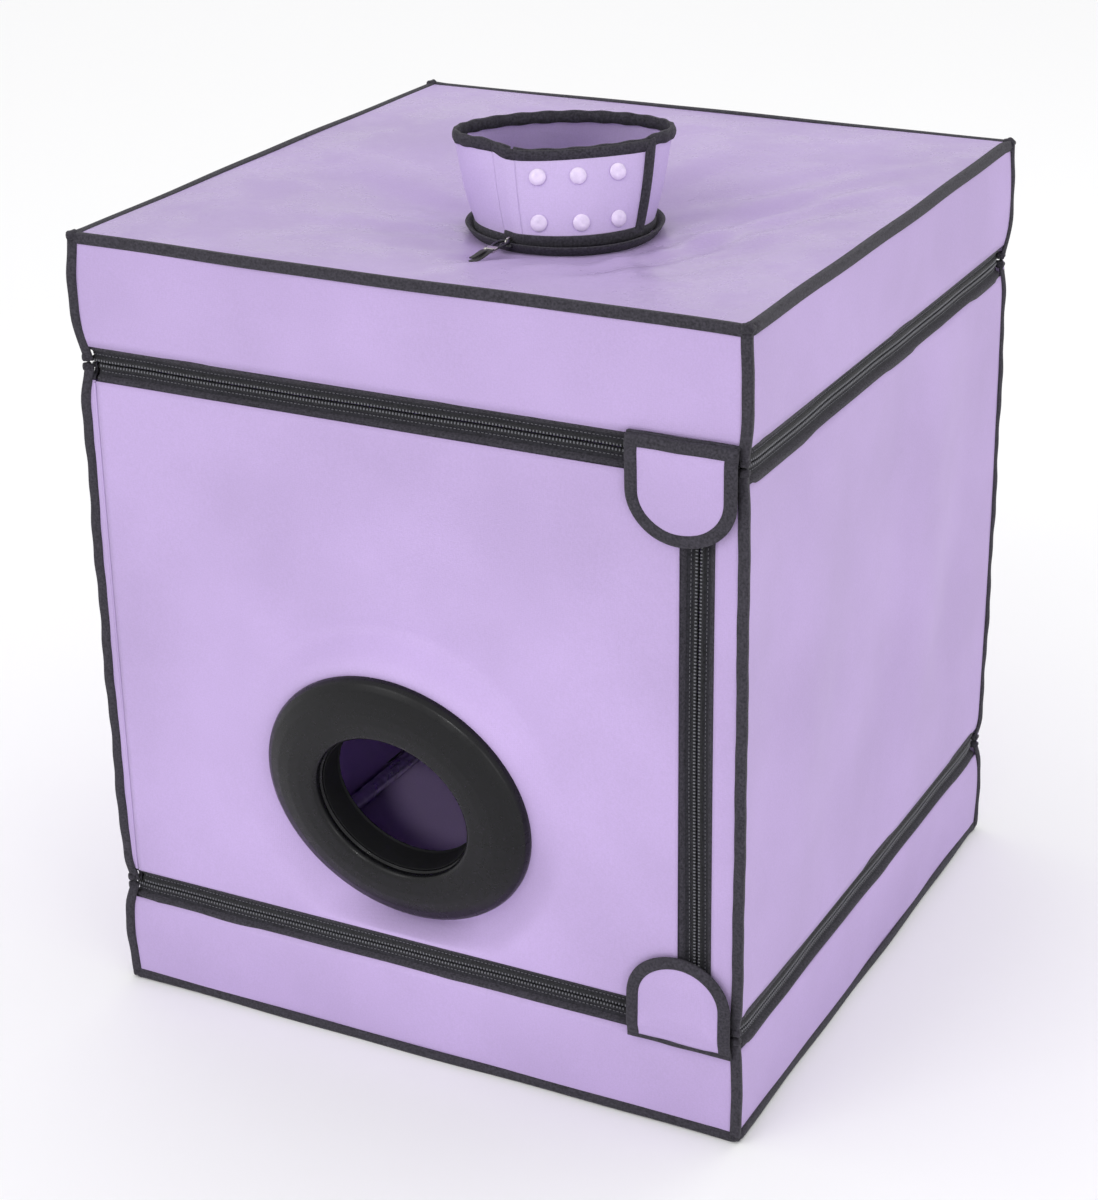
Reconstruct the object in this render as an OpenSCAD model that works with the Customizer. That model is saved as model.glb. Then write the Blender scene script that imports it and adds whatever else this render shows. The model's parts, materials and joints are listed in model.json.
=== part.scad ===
// Zip-together fabric box on a hollow tube frame, with a snap collar on the lid
// and a round hose port in the front door. Millimetres, +Z up, the front faces -Y.
// Origin: centre of the underside of the base.

/* [Box] */
// outside width and depth, over the edge bindings
box_w = 450; // [430:1:470]
// outside height of the box without the collar
box_h = 524; // [500:1:540]
// height of the lower zip line
zip_low_z = 74; // [70:1:80]
// height of the upper zip line
zip_up_z = 442; // [430:1:448]
// thickness of the coated fabric
fabric_t = 1.0; // [0.8:0.1:1.2]
// visible width of the edge bindings
bind_w = 8.8; // [6:0.1:10]

/* [Door zip] */
// X of the vertical zip line
vzip_x = 194.5; // [190:0.5:198]

/* [Frame] */
// outside radius of the frame tubes
tube_r = 6; // [5:0.1:6]
// distance of the tube centre lines from the middle of the box
tube_c = 207; // [205:0.5:207]

/* [Collar] */
// X of the collar centre
col_x = 21; // [15:1:25]
// Y of the collar centre
col_y = -42; // [-46:1:-38]
// radius of the round collar foot
col_r = 55; // [52:1:58]
// height of the collar wall
col_h = 56; // [50:1:60]
// depth of the dish in the top panel
dish = 15; // [10:1:16]

/* [Port] */
// X of the port centre
port_x = -8; // [-12:1:-4]
// Z of the port centre
port_z = 184.6; // [182:0.1:188]
// bore radius for the hose
port_r = 52; // [51:0.1:53]
// forward-down tilt of the port in degrees
port_tilt = 11.5; // [10:0.5:13]

/* [Hidden] */
W = box_w / 2;
H = box_h;
P = W - 1;          // outer face of the panels
T = fabric_t;
Q = P - T;          // inner face of the panels, outer face of the zip tapes
E = 0.01;
$fn = 64;
py = -W - 3;        // Y of the port rim centre
a0 = 27.5;          // heading of the collar mouth's long axis
lilac = [0.76, 0.68, 0.86];
black = [0.09, 0.09, 0.10];
tape_c = [0.13, 0.12, 0.15];
grey = [0.55, 0.56, 0.58];

module box3(a, b) { translate(a) cube([b[0] - a[0], b[1] - a[1], b[2] - a[2]]); }

// square ring of outer half size o and wall t between two heights
module ring(o, t, z0, z1) {
  difference() {
    box3([-o, -o, z0], [o, o, z1]);
    box3([-o + t, -o + t, z0 - 1], [o - t, o - t, z1 + 1]);
  }
}

// L-shaped binding on one vertical corner
module corner(sx, sy, z0, z1, w) {
  mirror([sx < 0 ? 1 : 0, 0, 0]) mirror([0, sy < 0 ? 1 : 0, 0])
    translate([0, 0, z0]) linear_extrude(z1 - z0)
      polygon([[W, W], [W - w, W], [W - w, W - 1], [W - 1, W - 1], [W - 1, W - w], [W, W - w]]);
}

// ---------- base tray ----------
module base_panel() { color(lilac) box3([-P, -P, 0], [P, P, 1.2]); }
module base_bands() {
  color(lilac) difference() {
    ring(P, T, 1.2, zip_low_z - 12);
    box3([-Q, Q - 1, zip_low_z - 20], [Q, W, zip_low_z - 20 + E]);
  }
  color(lilac) box3([-P, Q, zip_low_z - 12], [P, P, zip_low_z - 1.5]);
}
module base_edge_binding() {
  color(black) difference() {
    box3([-W, -W, 0.4], [W, W, 7]);
    box3([-P, -P, -1], [P, P, 8]);
  }
}
module base_corner_bindings() {
  color(black) for (x = [-1, 1], y = [-1, 1]) corner(x, y, 7, zip_low_z - 4, bind_w);
}
// zip tape on the front, right and left of a square ring, stopping short of the back
module tape3(z0, z1) {
  difference() { ring(Q, T, z0, z1); box3([-W, W - 4.5, z0 - 1], [W, W + 1, z1 + 1]); }
}
module coil3(z0, z1) {
  difference() { ring(Q + 0.5, 2, z0, z1); box3([-W, W - 4.5, z0 - 1], [W, W + 1, z1 + 1]); }
}
module base_zip_tape() { color(tape_c) tape3(zip_low_z - 17, zip_low_z - 2.4); }
module base_zip_coil() { color(grey) coil3(zip_low_z - 2.4, zip_low_z - 0.8); }
module back_hinge_lower() {
  color(black) {
    translate([-P + 8, P, zip_low_z]) rotate([0, 90, 0]) cylinder(r = 0.9, h = 2 * P - 16, $fn = 32);
    box3([-P + 8, P, zip_low_z - 12], [P - 8, P + 0.8, zip_low_z]);
  }
}

// ---------- frame ----------
module tube(l) {
  difference() { cylinder(r = tube_r, h = l, $fn = 48); translate([0, 0, -1]) cylinder(r = tube_r - 1, h = l + 2, $fn = 48); }
}
zb = 10; zt = H - 12; g = 9;
module frame_uprights() {
  color([0.85, 0.86, 0.88]) for (x = [-1, 1], y = [-1, 1]) translate([x * tube_c, y * tube_c, zb + g]) tube(zt - zb - 2 * g);
}
module rails(z) {
  for (s = [-1, 1]) {
    translate([-tube_c + g, s * tube_c, z]) rotate([0, 90, 0]) tube(2 * tube_c - 2 * g);
    translate([s * tube_c, tube_c - g, z]) rotate([90, 0, 0]) tube(2 * tube_c - 2 * g);
  }
}
module frame_rails_lower() { color([0.85, 0.86, 0.88]) rails(zb); }
module frame_rails_upper() { color([0.85, 0.86, 0.88]) rails(zt); }
module connector(up) {
  sp = tube_r - 1.2;
  union() {
    sphere(r = tube_r + 0.4, $fn = 48);
    for (r = [[0, up < 0 ? 180 : 0, 0], [0, 90, 0], [-90, 0, 0]]) rotate(r) {
      cylinder(r = tube_r, h = g - 0.02, $fn = 48);
      cylinder(r = sp, h = g + 20, $fn = 48);
    }
  }
}
module connectors(z, up) {
  for (x = [0, 1], y = [0, 1]) mirror([x, 0, 0]) mirror([0, y, 0]) translate([-tube_c, -tube_c, z]) connector(up);
}
module connectors_lower() { color(grey) connectors(zb, 1); }
module connectors_upper() { color(grey) connectors(zt, -1); }

// ---------- shell walls ----------
w0 = zip_low_z + 12; w1 = zip_up_z - 12;
module wall_right() { color(lilac) box3([Q, -Q, w0], [P, Q, w1]); }
module wall_left() { color(lilac) box3([-P, -Q, w0], [-Q, Q, w1]); }
module wall_back() { color(lilac) box3([-P, Q, zip_low_z + 1.5], [P, P, zip_up_z - 0.95]); }
module front_strip() {
  color(lilac) {
    box3([vzip_x + 11.5, -P, w0], [P, -Q, w1]);
    box3([-P, -P, w0], [-W + 8.6, -Q, w1]);
  }
}
module wall_corner_bindings() {
  color(black) for (x = [-1, 1], y = [-1, 1]) corner(x, y, zip_low_z + 4, zip_up_z - 4, bind_w);
}
// front part of a wall ring that belongs to the strip and the two corners
module shell_front_cut(z0, z1) { box3([-W + 9, -W - 1, z0 - 1], [vzip_x + 1.6, -W + 6, z1 + 1]); }
module wall_zip_tapes() {
  color(tape_c) {
    difference() { tape3(zip_low_z + 2.4, zip_low_z + 17); shell_front_cut(zip_low_z, zip_low_z + 20); box3([vzip_x, -W, zip_low_z + 12], [vzip_x + 11.5, -W + 6, zip_low_z + 20]); }
    difference() { tape3(zip_up_z - 17, zip_up_z - 2.4); shell_front_cut(zip_up_z - 20, zip_up_z); box3([vzip_x, -W, zip_up_z - 20], [vzip_x + 11.5, -W + 6, zip_up_z - 12]); }
    box3([vzip_x + 2.4, -Q, zip_low_z + 17], [vzip_x + 16, -Q + T, zip_up_z - 17]);
  }
}
module wall_zip_coils() {
  color(grey) {
    difference() { coil3(zip_low_z + 0.8, zip_low_z + 2.4); shell_front_cut(zip_low_z, zip_low_z + 4); }
    difference() { coil3(zip_up_z - 2.4, zip_up_z - 0.8); shell_front_cut(zip_up_z - 4, zip_up_z); }
    box3([vzip_x + 0.8, -Q - 0.5, zip_low_z + 17], [vzip_x + 2.4, -Q + 1.5, zip_up_z - 17]);
  }
}
hx = -W + 9.7;
module door_hinge() {
  color(black) {
    translate([hx, -P, w0]) cylinder(r = 0.9, h = w1 - w0, $fn = 32);
    box3([-W + 8.6, -P, w0], [hx, -Q - 0.2, w1]);
  }
}
module back_hinge_upper() {
  color(black) {
    translate([-P + 8, P, zip_up_z]) rotate([0, 90, 0]) cylinder(r = 0.9, h = 2 * P - 16, $fn = 32);
    box3([-P + 8, P, zip_up_z - 12], [P - 8, P + 0.8, zip_up_z]);
  }
}

// ---------- lid ----------
// height of the dished top fabric at a point
function bump(t) = t <= 0 ? 0 : t >= 1 ? 1 : t * t * (3 - 2 * t);
function edge_t(x, y) = min(1, min(P - abs(x), P - abs(y)) / 150);
function near_t(x, y) = 1 - min(1, max(0, sqrt(pow(x - col_x, 2) + pow(y - col_y, 2)) - 62) / 170);
function top_z(x, y) = H - 1 - dish * pow(near_t(x, y), 1.6) * bump(edge_t(x, y) * 1.4);
NA = 72; NR = 9;
// ray from the collar centre to the square edge
function ray(a) = min(
  cos(a) > 0.0001 ? (P - col_x) / cos(a) : cos(a) < -0.0001 ? (-P - col_x) / cos(a) : 9999,
  sin(a) > 0.0001 ? (P - col_y) / sin(a) : sin(a) < -0.0001 ? (-P - col_y) / sin(a) : 9999);
corners_a = [for (c = [[1, 1], [-1, 1], [-1, -1], [1, -1]]) atan2(c[1] * P - col_y, c[0] * P - col_x)];
function snap_a(a) = let (d = [for (c = corners_a) abs(((a - c + 540) % 360) - 180)], m = min(d))
  m <= 180 / NA ? [for (i = [0:3]) if (d[i] == m) corners_a[i]][0] : a;
function lp(i, j, dz) = let (a = snap_a(i * 360 / NA), r0 = col_r - 2, r1 = col_r + 8, r = j == 0 ? r0 : r1 + (ray(a) - r1) * pow((j - 1) / (NR - 1), 1.1),
  x = col_x + r * cos(a), y = col_y + r * sin(a)) [x, y, top_z(x, y) - dz];
module lid_panel() {
  pts = concat([for (j = [0:NR], i = [0:NA - 1]) lp(i, j, 0)], [for (j = [0:NR], i = [0:NA - 1]) lp(i, j, T)]);
  M = NA * (NR + 1);
  fs = concat(
    [for (j = [0:NR - 1], i = [0:NA - 1], k = [0, 1]) let (a = j * NA + i, b = j * NA + (i + 1) % NA, c = a + NA, d = b + NA) k == 0 ? [a, b, c] : [b, d, c]],
    [for (j = [0:NR - 1], i = [0:NA - 1], k = [0, 1]) let (a = M + j * NA + i, b = M + j * NA + (i + 1) % NA, c = a + NA, d = b + NA) k == 0 ? [a, c, b] : [b, c, d]],
    [for (i = [0:NA - 1], k = [0, 1]) let (a = i, b = (i + 1) % NA) k == 0 ? [a, M + a, b] : [b, M + a, M + b]],
    [for (i = [0:NA - 1], k = [0, 1]) let (a = NR * NA + i, b = NR * NA + (i + 1) % NA) k == 0 ? [a, b, M + a] : [b, M + b, M + a]]);
  color(lilac) polyhedron(pts, fs, convexity = 4);
}
module lid_bands() {
  color(lilac) {
    ring(P, T, zip_up_z + 12, H - 1 - T);
    box3([-P, Q, zip_up_z + 1.5], [P, P, zip_up_z + 12]);
  }
}
module lid_edge_binding() {
  color(black) difference() {
    box3([-W, -W, H - 8.6], [W, W, H]);
    box3([-P, -P, H - 9], [P, P, H - 1]);
    box3([-W + 8.6, -W + 8.6, H - 2], [W - 8.6, W - 8.6, H + 1]);
  }
}
module lid_corner_bindings() {
  color(black) for (x = [-1, 1], y = [-1, 1]) corner(x, y, zip_up_z + 4, H - 8.6, bind_w);
}
module lid_zip_tape() { color(tape_c) tape3(zip_up_z + 2.4, zip_up_z + 17); }
module lid_zip_coil() { color(grey) coil3(zip_up_z + 0.8, zip_up_z + 2.4); }
cz = H - 1 - dish;     // top of the lid fabric at the collar
module collar_base_ring() {
  color(black) translate([col_x, col_y, 0]) rotate_extrude($fn = 96)
    polygon([[col_r - 2, cz + 0.3], [col_r + 7, cz + 0.3], [col_r + 7, cz + 2.4], [col_r + 5.6, cz + 4], [col_r + 1.9, cz + 4], [col_r - 2, cz + 1.6]]);
  color(black) translate([col_x, col_y, 0]) rotate_extrude($fn = 96)
    polygon([[col_r - 5, cz - 2.5], [col_r - 3, cz - 2.5], [col_r - 2.1, cz + 0.2], [col_r - 4, cz + 0.2]]);
}

// ---------- collar ----------
c0 = cz + 4.5; c1 = c0 + col_h;
top_a = 67.5; top_b = 37.5;
// point on the collar wall: heading a, fraction of the height t, distance o outside the wall
function crx(t) = col_r + (top_a - col_r) * t;
function cry(t) = col_r + (top_b - col_r) * t;
function cpt(a, t, o) = let (e = a - a0, x = (crx(t) + o) * cos(e), y = (cry(t) + o) * sin(e))
  [col_x + x * cos(a0) - y * sin(a0), col_y + x * sin(a0) + y * cos(a0), c0 + col_h * t];
module sheet_arc(aa, ab, n, t0, t1, o0, o1) {
  nt = 4;
  K = (n + 1) * (nt + 1);
  pts = concat([for (j = [0:nt], i = [0:n]) cpt(aa + (ab - aa) * i / n, t0 + (t1 - t0) * j / nt, o1)],
               [for (j = [0:nt], i = [0:n]) cpt(aa + (ab - aa) * i / n, t0 + (t1 - t0) * j / nt, o0)]);
  function id(i, j) = j * (n + 1) + i;
  fs = concat(
    [for (j = [0:nt - 1], i = [0:n - 1], k = [0, 1]) k == 0 ? [id(i, j), id(i, j + 1), id(i + 1, j)] : [id(i + 1, j), id(i, j + 1), id(i + 1, j + 1)]],
    [for (j = [0:nt - 1], i = [0:n - 1], k = [0, 1]) k == 0 ? [K + id(i, j), K + id(i + 1, j), K + id(i, j + 1)] : [K + id(i + 1, j), K + id(i + 1, j + 1), K + id(i, j + 1)]],
    [for (i = [0:n - 1], k = [0, 1]) k == 0 ? [id(i, 0), id(i + 1, 0), K + id(i, 0)] : [id(i + 1, 0), K + id(i + 1, 0), K + id(i, 0)]],
    [for (i = [0:n - 1], k = [0, 1]) k == 0 ? [id(i, nt), K + id(i, nt), id(i + 1, nt)] : [id(i + 1, nt), K + id(i, nt), K + id(i + 1, nt)]],
    [for (j = [0:nt - 1], k = [0, 1]) k == 0 ? [id(0, j), K + id(0, j), id(0, j + 1)] : [id(0, j + 1), K + id(0, j), K + id(0, j + 1)]],
    [for (j = [0:nt - 1], k = [0, 1]) k == 0 ? [id(n, j), id(n, j + 1), K + id(n, j)] : [id(n, j + 1), K + id(n, j + 1), K + id(n, j)]]);
  polyhedron(pts, fs, convexity = 6);
}
ra = -90;  // heading of the flap's root
fa = -14;  // heading of the flap's free edge
module collar_wall() { color(lilac) sheet_arc(ra + 4, ra + 360, 90, 0.1, 0.9, -1, 0); }
module collar_rim_elastic() { color(black) sheet_arc(ra + 4, ra + 360, 90, 0.9, 1, -2, 1); }
module collar_foot_binding() { color(black) sheet_arc(ra + 4, ra + 360, 90, 0, 0.1, -1.4, 0.6); }
module collar_flap() { color(lilac) sheet_arc(ra + 2, fa - 4, 24, 0.12, 0.86, 3.2, 4.2); }
module collar_flap_binding() {
  color(black) {
    sheet_arc(ra + 2, fa, 24, 0.86, 0.98, 2.4, 4.8);
    sheet_arc(fa - 4, fa, 3, 0.12, 0.86, 2.8, 4.7);
    sheet_arc(ra + 2, fa, 24, 0.04, 0.12, 2.8, 4.7);
  }
}
f0 = cpt(ra, 0.06, 3.4); f1 = cpt(ra, 0.94, 3.4);
fv = f1 - f0; fl = norm(fv);
module collar_flap_hinge() {
  color(black) translate(f0) rotate([0, acos(fv[2] / fl), atan2(fv[1], fv[0])]) cylinder(r = 0.8, h = fl, $fn = 32);
  color(black) sheet_arc(ra - 3, ra, 2, 0.1, 0.9, 0, 3.4);
}
snap_as = [-79, -56, -33]; snap_ts = [0.265, 0.765];
module at_snap(a, t, o) {
  p = cpt(a, t, o); n0 = cpt(a, t, 10) - cpt(a, t, 0); s = cpt(a, t + 0.1, o) - p; u = cpt(a + 1, t, o) - p;
  n = cross(u, s); k = norm(n);
  translate(p) rotate([0, acos(n[2] / k), atan2(n[1], n[0])]) children();
}
module snap_caps() {
  color([0.86, 0.8, 0.95]) for (a = snap_as, t = snap_ts) at_snap(a, t, 4.75)
    rotate_extrude($fn = 40) polygon([[0, -0.5], [5.2, -0.5], [5.2, 0.2], [4.6, 0.9], [3.2, 1.5], [1.5, 1.8], [0, 1.9]]);
}
module snap_sockets() {
  color([0.86, 0.8, 0.95]) for (a = snap_as, t = snap_ts) at_snap(a, t, 2.0)
    difference() { cylinder(r = 4.6, h = 0.8, $fn = 40); translate([0, 0, -1]) cylinder(r = 2.2, h = 1.4, $fn = 32); }
}
module snap_studs() {
  color([0.86, 0.8, 0.95]) for (a = snap_as, t = snap_ts) at_snap(a, t, 0.05) {
    cylinder(r = 4.6, h = 0.7, $fn = 40);
    cylinder(r = 1.7, h = 1.5, $fn = 32);
  }
}
// zip slider that runs round the collar foot
sa = -99;
module collar_slider() {
  color(black) translate([col_x, col_y, 0]) rotate([0, 0, sa]) {
    box3([col_r + 2.5, -4.4, cz + 4.4], [col_r + 8.7, 4.4, cz + 5.8]);
    box3([col_r + 7.3, -4.4, cz + 0.6], [col_r + 8.7, 4.4, cz + 5.8]);
    for (y = [-3, 3]) box3([col_r + 4.6, y - 0.7, cz + 5.7], [col_r + 8.7, y + 0.7, cz + 9.2]);
  }
}
module collar_pull() {
  color(black) translate([col_x, col_y, 0]) rotate([0, 0, sa]) {
    translate([col_r + 6.6, 2, cz + 7.6]) rotate([90, 0, 0]) cylinder(r = 1, h = 4, $fn = 24);
    box3([col_r + 6.6, -1.9, cz + 6.9], [col_r + 14, 1.9, cz + 8.3]);
    difference() {
      box3([col_r + 13.9, -4.5, cz + 6.9], [col_r + 34, 4.5, cz + 8.3]);
      translate([col_r + 29, 0, cz + 6]) cylinder(r = 2.4, h = 4, $fn = 32);
      box3([col_r + 17, -2, cz + 6], [col_r + 24, 2, cz + 9]);
    }
  }
}

// ---------- door ----------
NP = 64;
function hole_p(i, s) = let (f = i * 360 / NP) [port_x + (110 + s) * sin(f), port_z + 5 + ((cos(f) > 0 ? 108 : 99.4) + s) * cos(f)];
// point in the port frame to the row frame
function pw(x, y, z) = [port_x + x, py - sin(port_tilt) * y - cos(port_tilt) * z, port_z + cos(port_tilt) * y - sin(port_tilt) * z];
module port_frame() { translate([port_x, py, port_z]) rotate([90 + port_tilt, 0, 0]) children(); }
module door_panel() {
  color(lilac) difference() {
    box3([hx + 1.3, -P, w0], [vzip_x - 12.5, -Q, w1]);
    translate([0, -Q + 1, 0]) rotate([90, 0, 0]) linear_extrude(4) polygon([for (i = [0:NP - 1]) hole_p(i, 0)]);
  }
}
// fabric skirt from the hole in the door to the tilted port rim, then inwards between flange and clamp ring
module port_skirt() {
  function sk(k, f) = pw(k[0] * sin(f), k[0] * cos(f), k[1]);
  rings = concat(
    [[for (i = [0:NP - 1]) let (p = hole_p(i, -0.02)) [p[0], -P, p[1]]]],
    [for (k = [[92, -4.2], [60, -4.2], [60, -5.2], [91.2, -5.2]]) [for (i = [0:NP - 1]) sk(k, i * 360 / NP)]],
    [[for (i = [0:NP - 1]) let (p = hole_p(i, -0.02)) [p[0], -Q, p[1]]]]);
  NK = len(rings);
  pts = [for (r = rings, p = r) p];
  fs = [for (j = [0:NK - 1], i = [0:NP - 1], k = [0, 1]) let (a = j * NP + i, b = j * NP + (i + 1) % NP, c = ((j + 1) % NK) * NP + i, d = ((j + 1) % NK) * NP + (i + 1) % NP)
    k == 0 ? [a, b, c] : [b, d, c]];
  color(lilac) polyhedron(pts, fs, convexity = 6);
}
dx0 = hx + 1.3; 
module door_zip_tape() {
  color(tape_c) difference() {
    box3([dx0, -Q, zip_low_z + 2.4], [vzip_x - 2.4, -Q + T, zip_up_z - 2.4]);
    box3([dx0 - 1, -W, zip_low_z + 15.5], [vzip_x - 15, -W + 6, zip_up_z - 17]);
  }
}
module door_zip_coil() {
  color(grey) {
    box3([dx0, -Q - 0.5, zip_up_z - 2.4], [vzip_x - 0.8, -Q + 1.5, zip_up_z - 0.8]);
    box3([dx0, -Q - 0.5, zip_low_z + 0.8], [vzip_x - 0.8, -Q + 1.5, zip_low_z + 2.4]);
    box3([vzip_x - 2.4, -Q - 0.5, zip_low_z + 2.4], [vzip_x - 0.8, -Q + 1.5, zip_up_z - 2.4]);
  }
}
module port_flange() {
  color(black) port_frame() rotate_extrude($fn = 128)
    polygon([[port_r, -18], [port_r + 2.5, -18], [port_r + 2.5, 4.5], [74, 4.5], [86, -1.2], [86, -4.2], [92.5, -4.2],
      [92.5, -0.4], [91.5, 0.8], [75, 8.5], [54.6, 8.5], [53.2, 7.9], [port_r, 6.5]]);
}
module port_clamp_ring() {
  color(black) port_frame() difference() {
    translate([0, 0, -8.4]) cylinder(r = 87, h = 3.2, $fn = 96);
    translate([0, 0, -9]) cylinder(r = port_r + 2.5, h = 5, $fn = 96);
  }
}
module port_seal() {
  color([0.06, 0.06, 0.06]) port_frame() rotate_extrude($fn = 96)
    polygon([[port_r + 2.5, -17.5], [port_r + 5, -16.5], [port_r + 5, -14], [port_r + 2.5, -13]]);
}

// ---------- zip sliders ----------
// slider body in its own frame: runs along X, the zip line is at z = 0, the door side is -z
module slider_body() {
  box3([-6, -W - 0.6, -5.5], [6, -W + 0.9, 5.5]);      // front plate
  box3([-6, -W + 4.3, -5.5], [6, -W + 5.3, 0.4]);      // back plate, behind the door half only
  box3([-5, -W + 0.8, -0.4], [-1, -W + 5.3, 0.4]);     // bridge between the two coil halves
  for (x = [-3.4, 2.2]) box3([x, -W - 3.2, -2], [x + 1.2, -W - 0.5, 2]);  // lugs for the pull
}
sux = 172; slx = 172; svz = 419;
module slider_upper() { color(black) translate([sux, 0, zip_up_z]) slider_body(); }
module slider_lower() { color(black) translate([slx, 0, zip_low_z]) mirror([0, 0, 1]) slider_body(); }
module slider_vertical() {
  color(black) translate([vzip_x, 0, svz]) {
    box3([-5.5, -W - 0.6, -6], [5.5, -W + 0.9, 6]);
    box3([-5.5, -W + 4.3, -6], [0.4, -W + 5.3, 6]);
    box3([-0.4, -W + 0.8, 1], [0.4, -W + 5.3, 5]);
    for (x = [-3.4, 2.2]) box3([x, -W - 3.2, -2], [x + 1.2, -W - 0.5, 2]);
  }
}
module pull(l) {
  translate([-1.9, -W - 2, 0]) rotate([0, 90, 0]) cylinder(r = 0.7, h = 3.8, $fn = 24);
  box3([-1.9, -W - 2.6, -4.6], [1.9, -W - 1.4, 0]);
  difference() {
    box3([-3.5, -W - 2.6, -l], [3.5, -W - 1.4, -4.5]);
    translate([0, -W, -l + 4]) rotate([90, 0, 0]) cylinder(r = 1.5, h = 6, $fn = 24);
  }
}
module pull_vertical() { color(black) translate([vzip_x, 0, svz]) pull(26); }
module pull_upper() { color(black) translate([sux, 0, zip_up_z]) pull(24); }
module pull_lower() { color(black) translate([slx, 0, zip_low_z]) mirror([0, 0, 1]) pull(24); }
// ---------- corner covers over the ends of the zips ----------
cy0 = -W - 6.2; cy1 = -W - 5.1;
cvx0 = 152; cvx1 = 219;
module cover_shape(e) {
  // rounded tongue, 60 mm long, root at z = 0, hanging towards -z
  w = (cvx1 - cvx0) / 2 - e;
  translate([(cvx0 + cvx1) / 2, 0]) union() {
    translate([0, -60 + 26]) scale(1) intersection() { circle(r = w, $fn = 96); translate([-w, -26 + e]) square([2 * w, 60]); }
    translate([-w, -60 + 26]) square([2 * w, 60 - 26]);
  }
}
module tongue(e, y0, y1) { translate([0, y1, 0]) rotate([90, 0, 0]) linear_extrude(y1 - y0) cover_shape(e); }
module cover_upper() { color(lilac) translate([0, 0, zip_up_z + 10.6]) tongue(0, cy0, cy1); }
module cover_upper_binding() {
  color(black) translate([0, 0, zip_up_z + 10.6]) difference() {
    tongue(0, cy0 - 0.7, cy0);
    translate([0, 0, 0.01]) tongue(7, cy0 - 2, cy0 + 2);
    box3([cvx0 - 1, cy0 - 2, -1.4], [cvx1 + 1, cy0 + 2, 2]);
  }
}
module cover_lower() { color(lilac) translate([0, 0, zip_low_z - 10.6]) mirror([0, 0, 1]) tongue(0, cy0, cy1); }
module cover_lower_binding() {
  color(black) translate([0, 0, zip_low_z - 10.6]) mirror([0, 0, 1]) difference() {
    tongue(0, cy0 - 0.7, cy0);
    translate([0, 0, 0.01]) tongue(7, cy0 - 2, cy0 + 2);
    box3([cvx0 - 1, cy0 - 2, -1.4], [cvx1 + 1, cy0 + 2, 2]);
  }
}
module cover_root_shape(z0, z1) { box3([cvx0, cy0, z0], [cvx1 - 3, -P, z1]); }
module cover_root_pipe(z, up) {
  translate([cvx0 + 1, (cy0 + cy1) / 2, z]) rotate([0, 90, 0]) cylinder(r = 0.5, h = cvx1 - cvx0 - 5, $fn = 24);
  box3([cvx0 + 1, (cy0 + cy1) / 2 - 0.3, up > 0 ? z : z - 0.8], [cvx1 - 4, (cy0 + cy1) / 2 + 0.3, up > 0 ? z + 0.8 : z]);
}
module cover_root_upper() { color(black) { cover_root_shape(zip_up_z + 12.4, zip_up_z + 16.4); cover_root_pipe(zip_up_z + 11.8, 1); } }
module cover_root_lower() { color(black) { cover_root_shape(zip_low_z - 16.4, zip_low_z - 12.4); cover_root_pipe(zip_low_z - 11.8, -1); } }

base_panel();
base_bands();
base_edge_binding();
base_corner_bindings();
base_zip_tape();
base_zip_coil();
back_hinge_lower();
frame_uprights();
frame_rails_lower();
frame_rails_upper();
connectors_lower();
connectors_upper();
wall_right();
wall_left();
wall_back();
front_strip();
wall_corner_bindings();
wall_zip_tapes();
wall_zip_coils();
door_hinge();
back_hinge_upper();
lid_panel();
lid_bands();
lid_edge_binding();
lid_corner_bindings();
lid_zip_tape();
lid_zip_coil();
collar_base_ring();
door_panel();
port_skirt();
door_zip_tape();
door_zip_coil();
port_flange();
port_clamp_ring();
port_seal();
slider_upper();
pull_upper();
slider_lower();
pull_lower();
slider_vertical();
pull_vertical();
cover_upper();
cover_upper_binding();
cover_lower();
cover_lower_binding();
cover_root_upper();
cover_root_lower();
collar_wall();
collar_rim_elastic();
collar_foot_binding();
collar_flap();
collar_flap_binding();
collar_flap_hinge();
snap_caps();
snap_sockets();
snap_studs();
collar_slider();
collar_pull();
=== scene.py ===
import bpy, json, math
import numpy as np
from mathutils import Matrix, Vector

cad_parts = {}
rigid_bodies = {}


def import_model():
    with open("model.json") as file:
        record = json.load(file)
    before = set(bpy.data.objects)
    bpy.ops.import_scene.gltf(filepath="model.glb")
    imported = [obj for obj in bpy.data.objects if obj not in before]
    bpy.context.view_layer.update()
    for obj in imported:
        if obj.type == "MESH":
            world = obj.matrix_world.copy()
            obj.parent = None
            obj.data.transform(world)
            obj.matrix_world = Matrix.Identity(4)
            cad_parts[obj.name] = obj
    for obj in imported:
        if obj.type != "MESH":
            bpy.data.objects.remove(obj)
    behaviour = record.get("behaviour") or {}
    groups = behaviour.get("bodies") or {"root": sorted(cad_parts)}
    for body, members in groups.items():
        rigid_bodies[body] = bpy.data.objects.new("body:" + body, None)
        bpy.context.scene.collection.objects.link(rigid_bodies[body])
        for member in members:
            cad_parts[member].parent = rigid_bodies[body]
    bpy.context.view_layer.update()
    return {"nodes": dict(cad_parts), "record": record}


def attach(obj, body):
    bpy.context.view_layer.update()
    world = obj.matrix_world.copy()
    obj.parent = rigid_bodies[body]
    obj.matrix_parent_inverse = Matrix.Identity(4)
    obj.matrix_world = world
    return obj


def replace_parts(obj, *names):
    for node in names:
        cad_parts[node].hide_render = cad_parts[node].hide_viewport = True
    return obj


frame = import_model()
R = np.random.default_rng(7)
W, H, P = 225.0, 524.0, 224.0
ZL, ZU, VX, HX = 74.0, 442.0, 194.5, -215.3
CX, CY, CR, DISH, CH = 21.0, -42.0, 55.0, 15.0, 56.0
CZ = H - 1 - DISH
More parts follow.
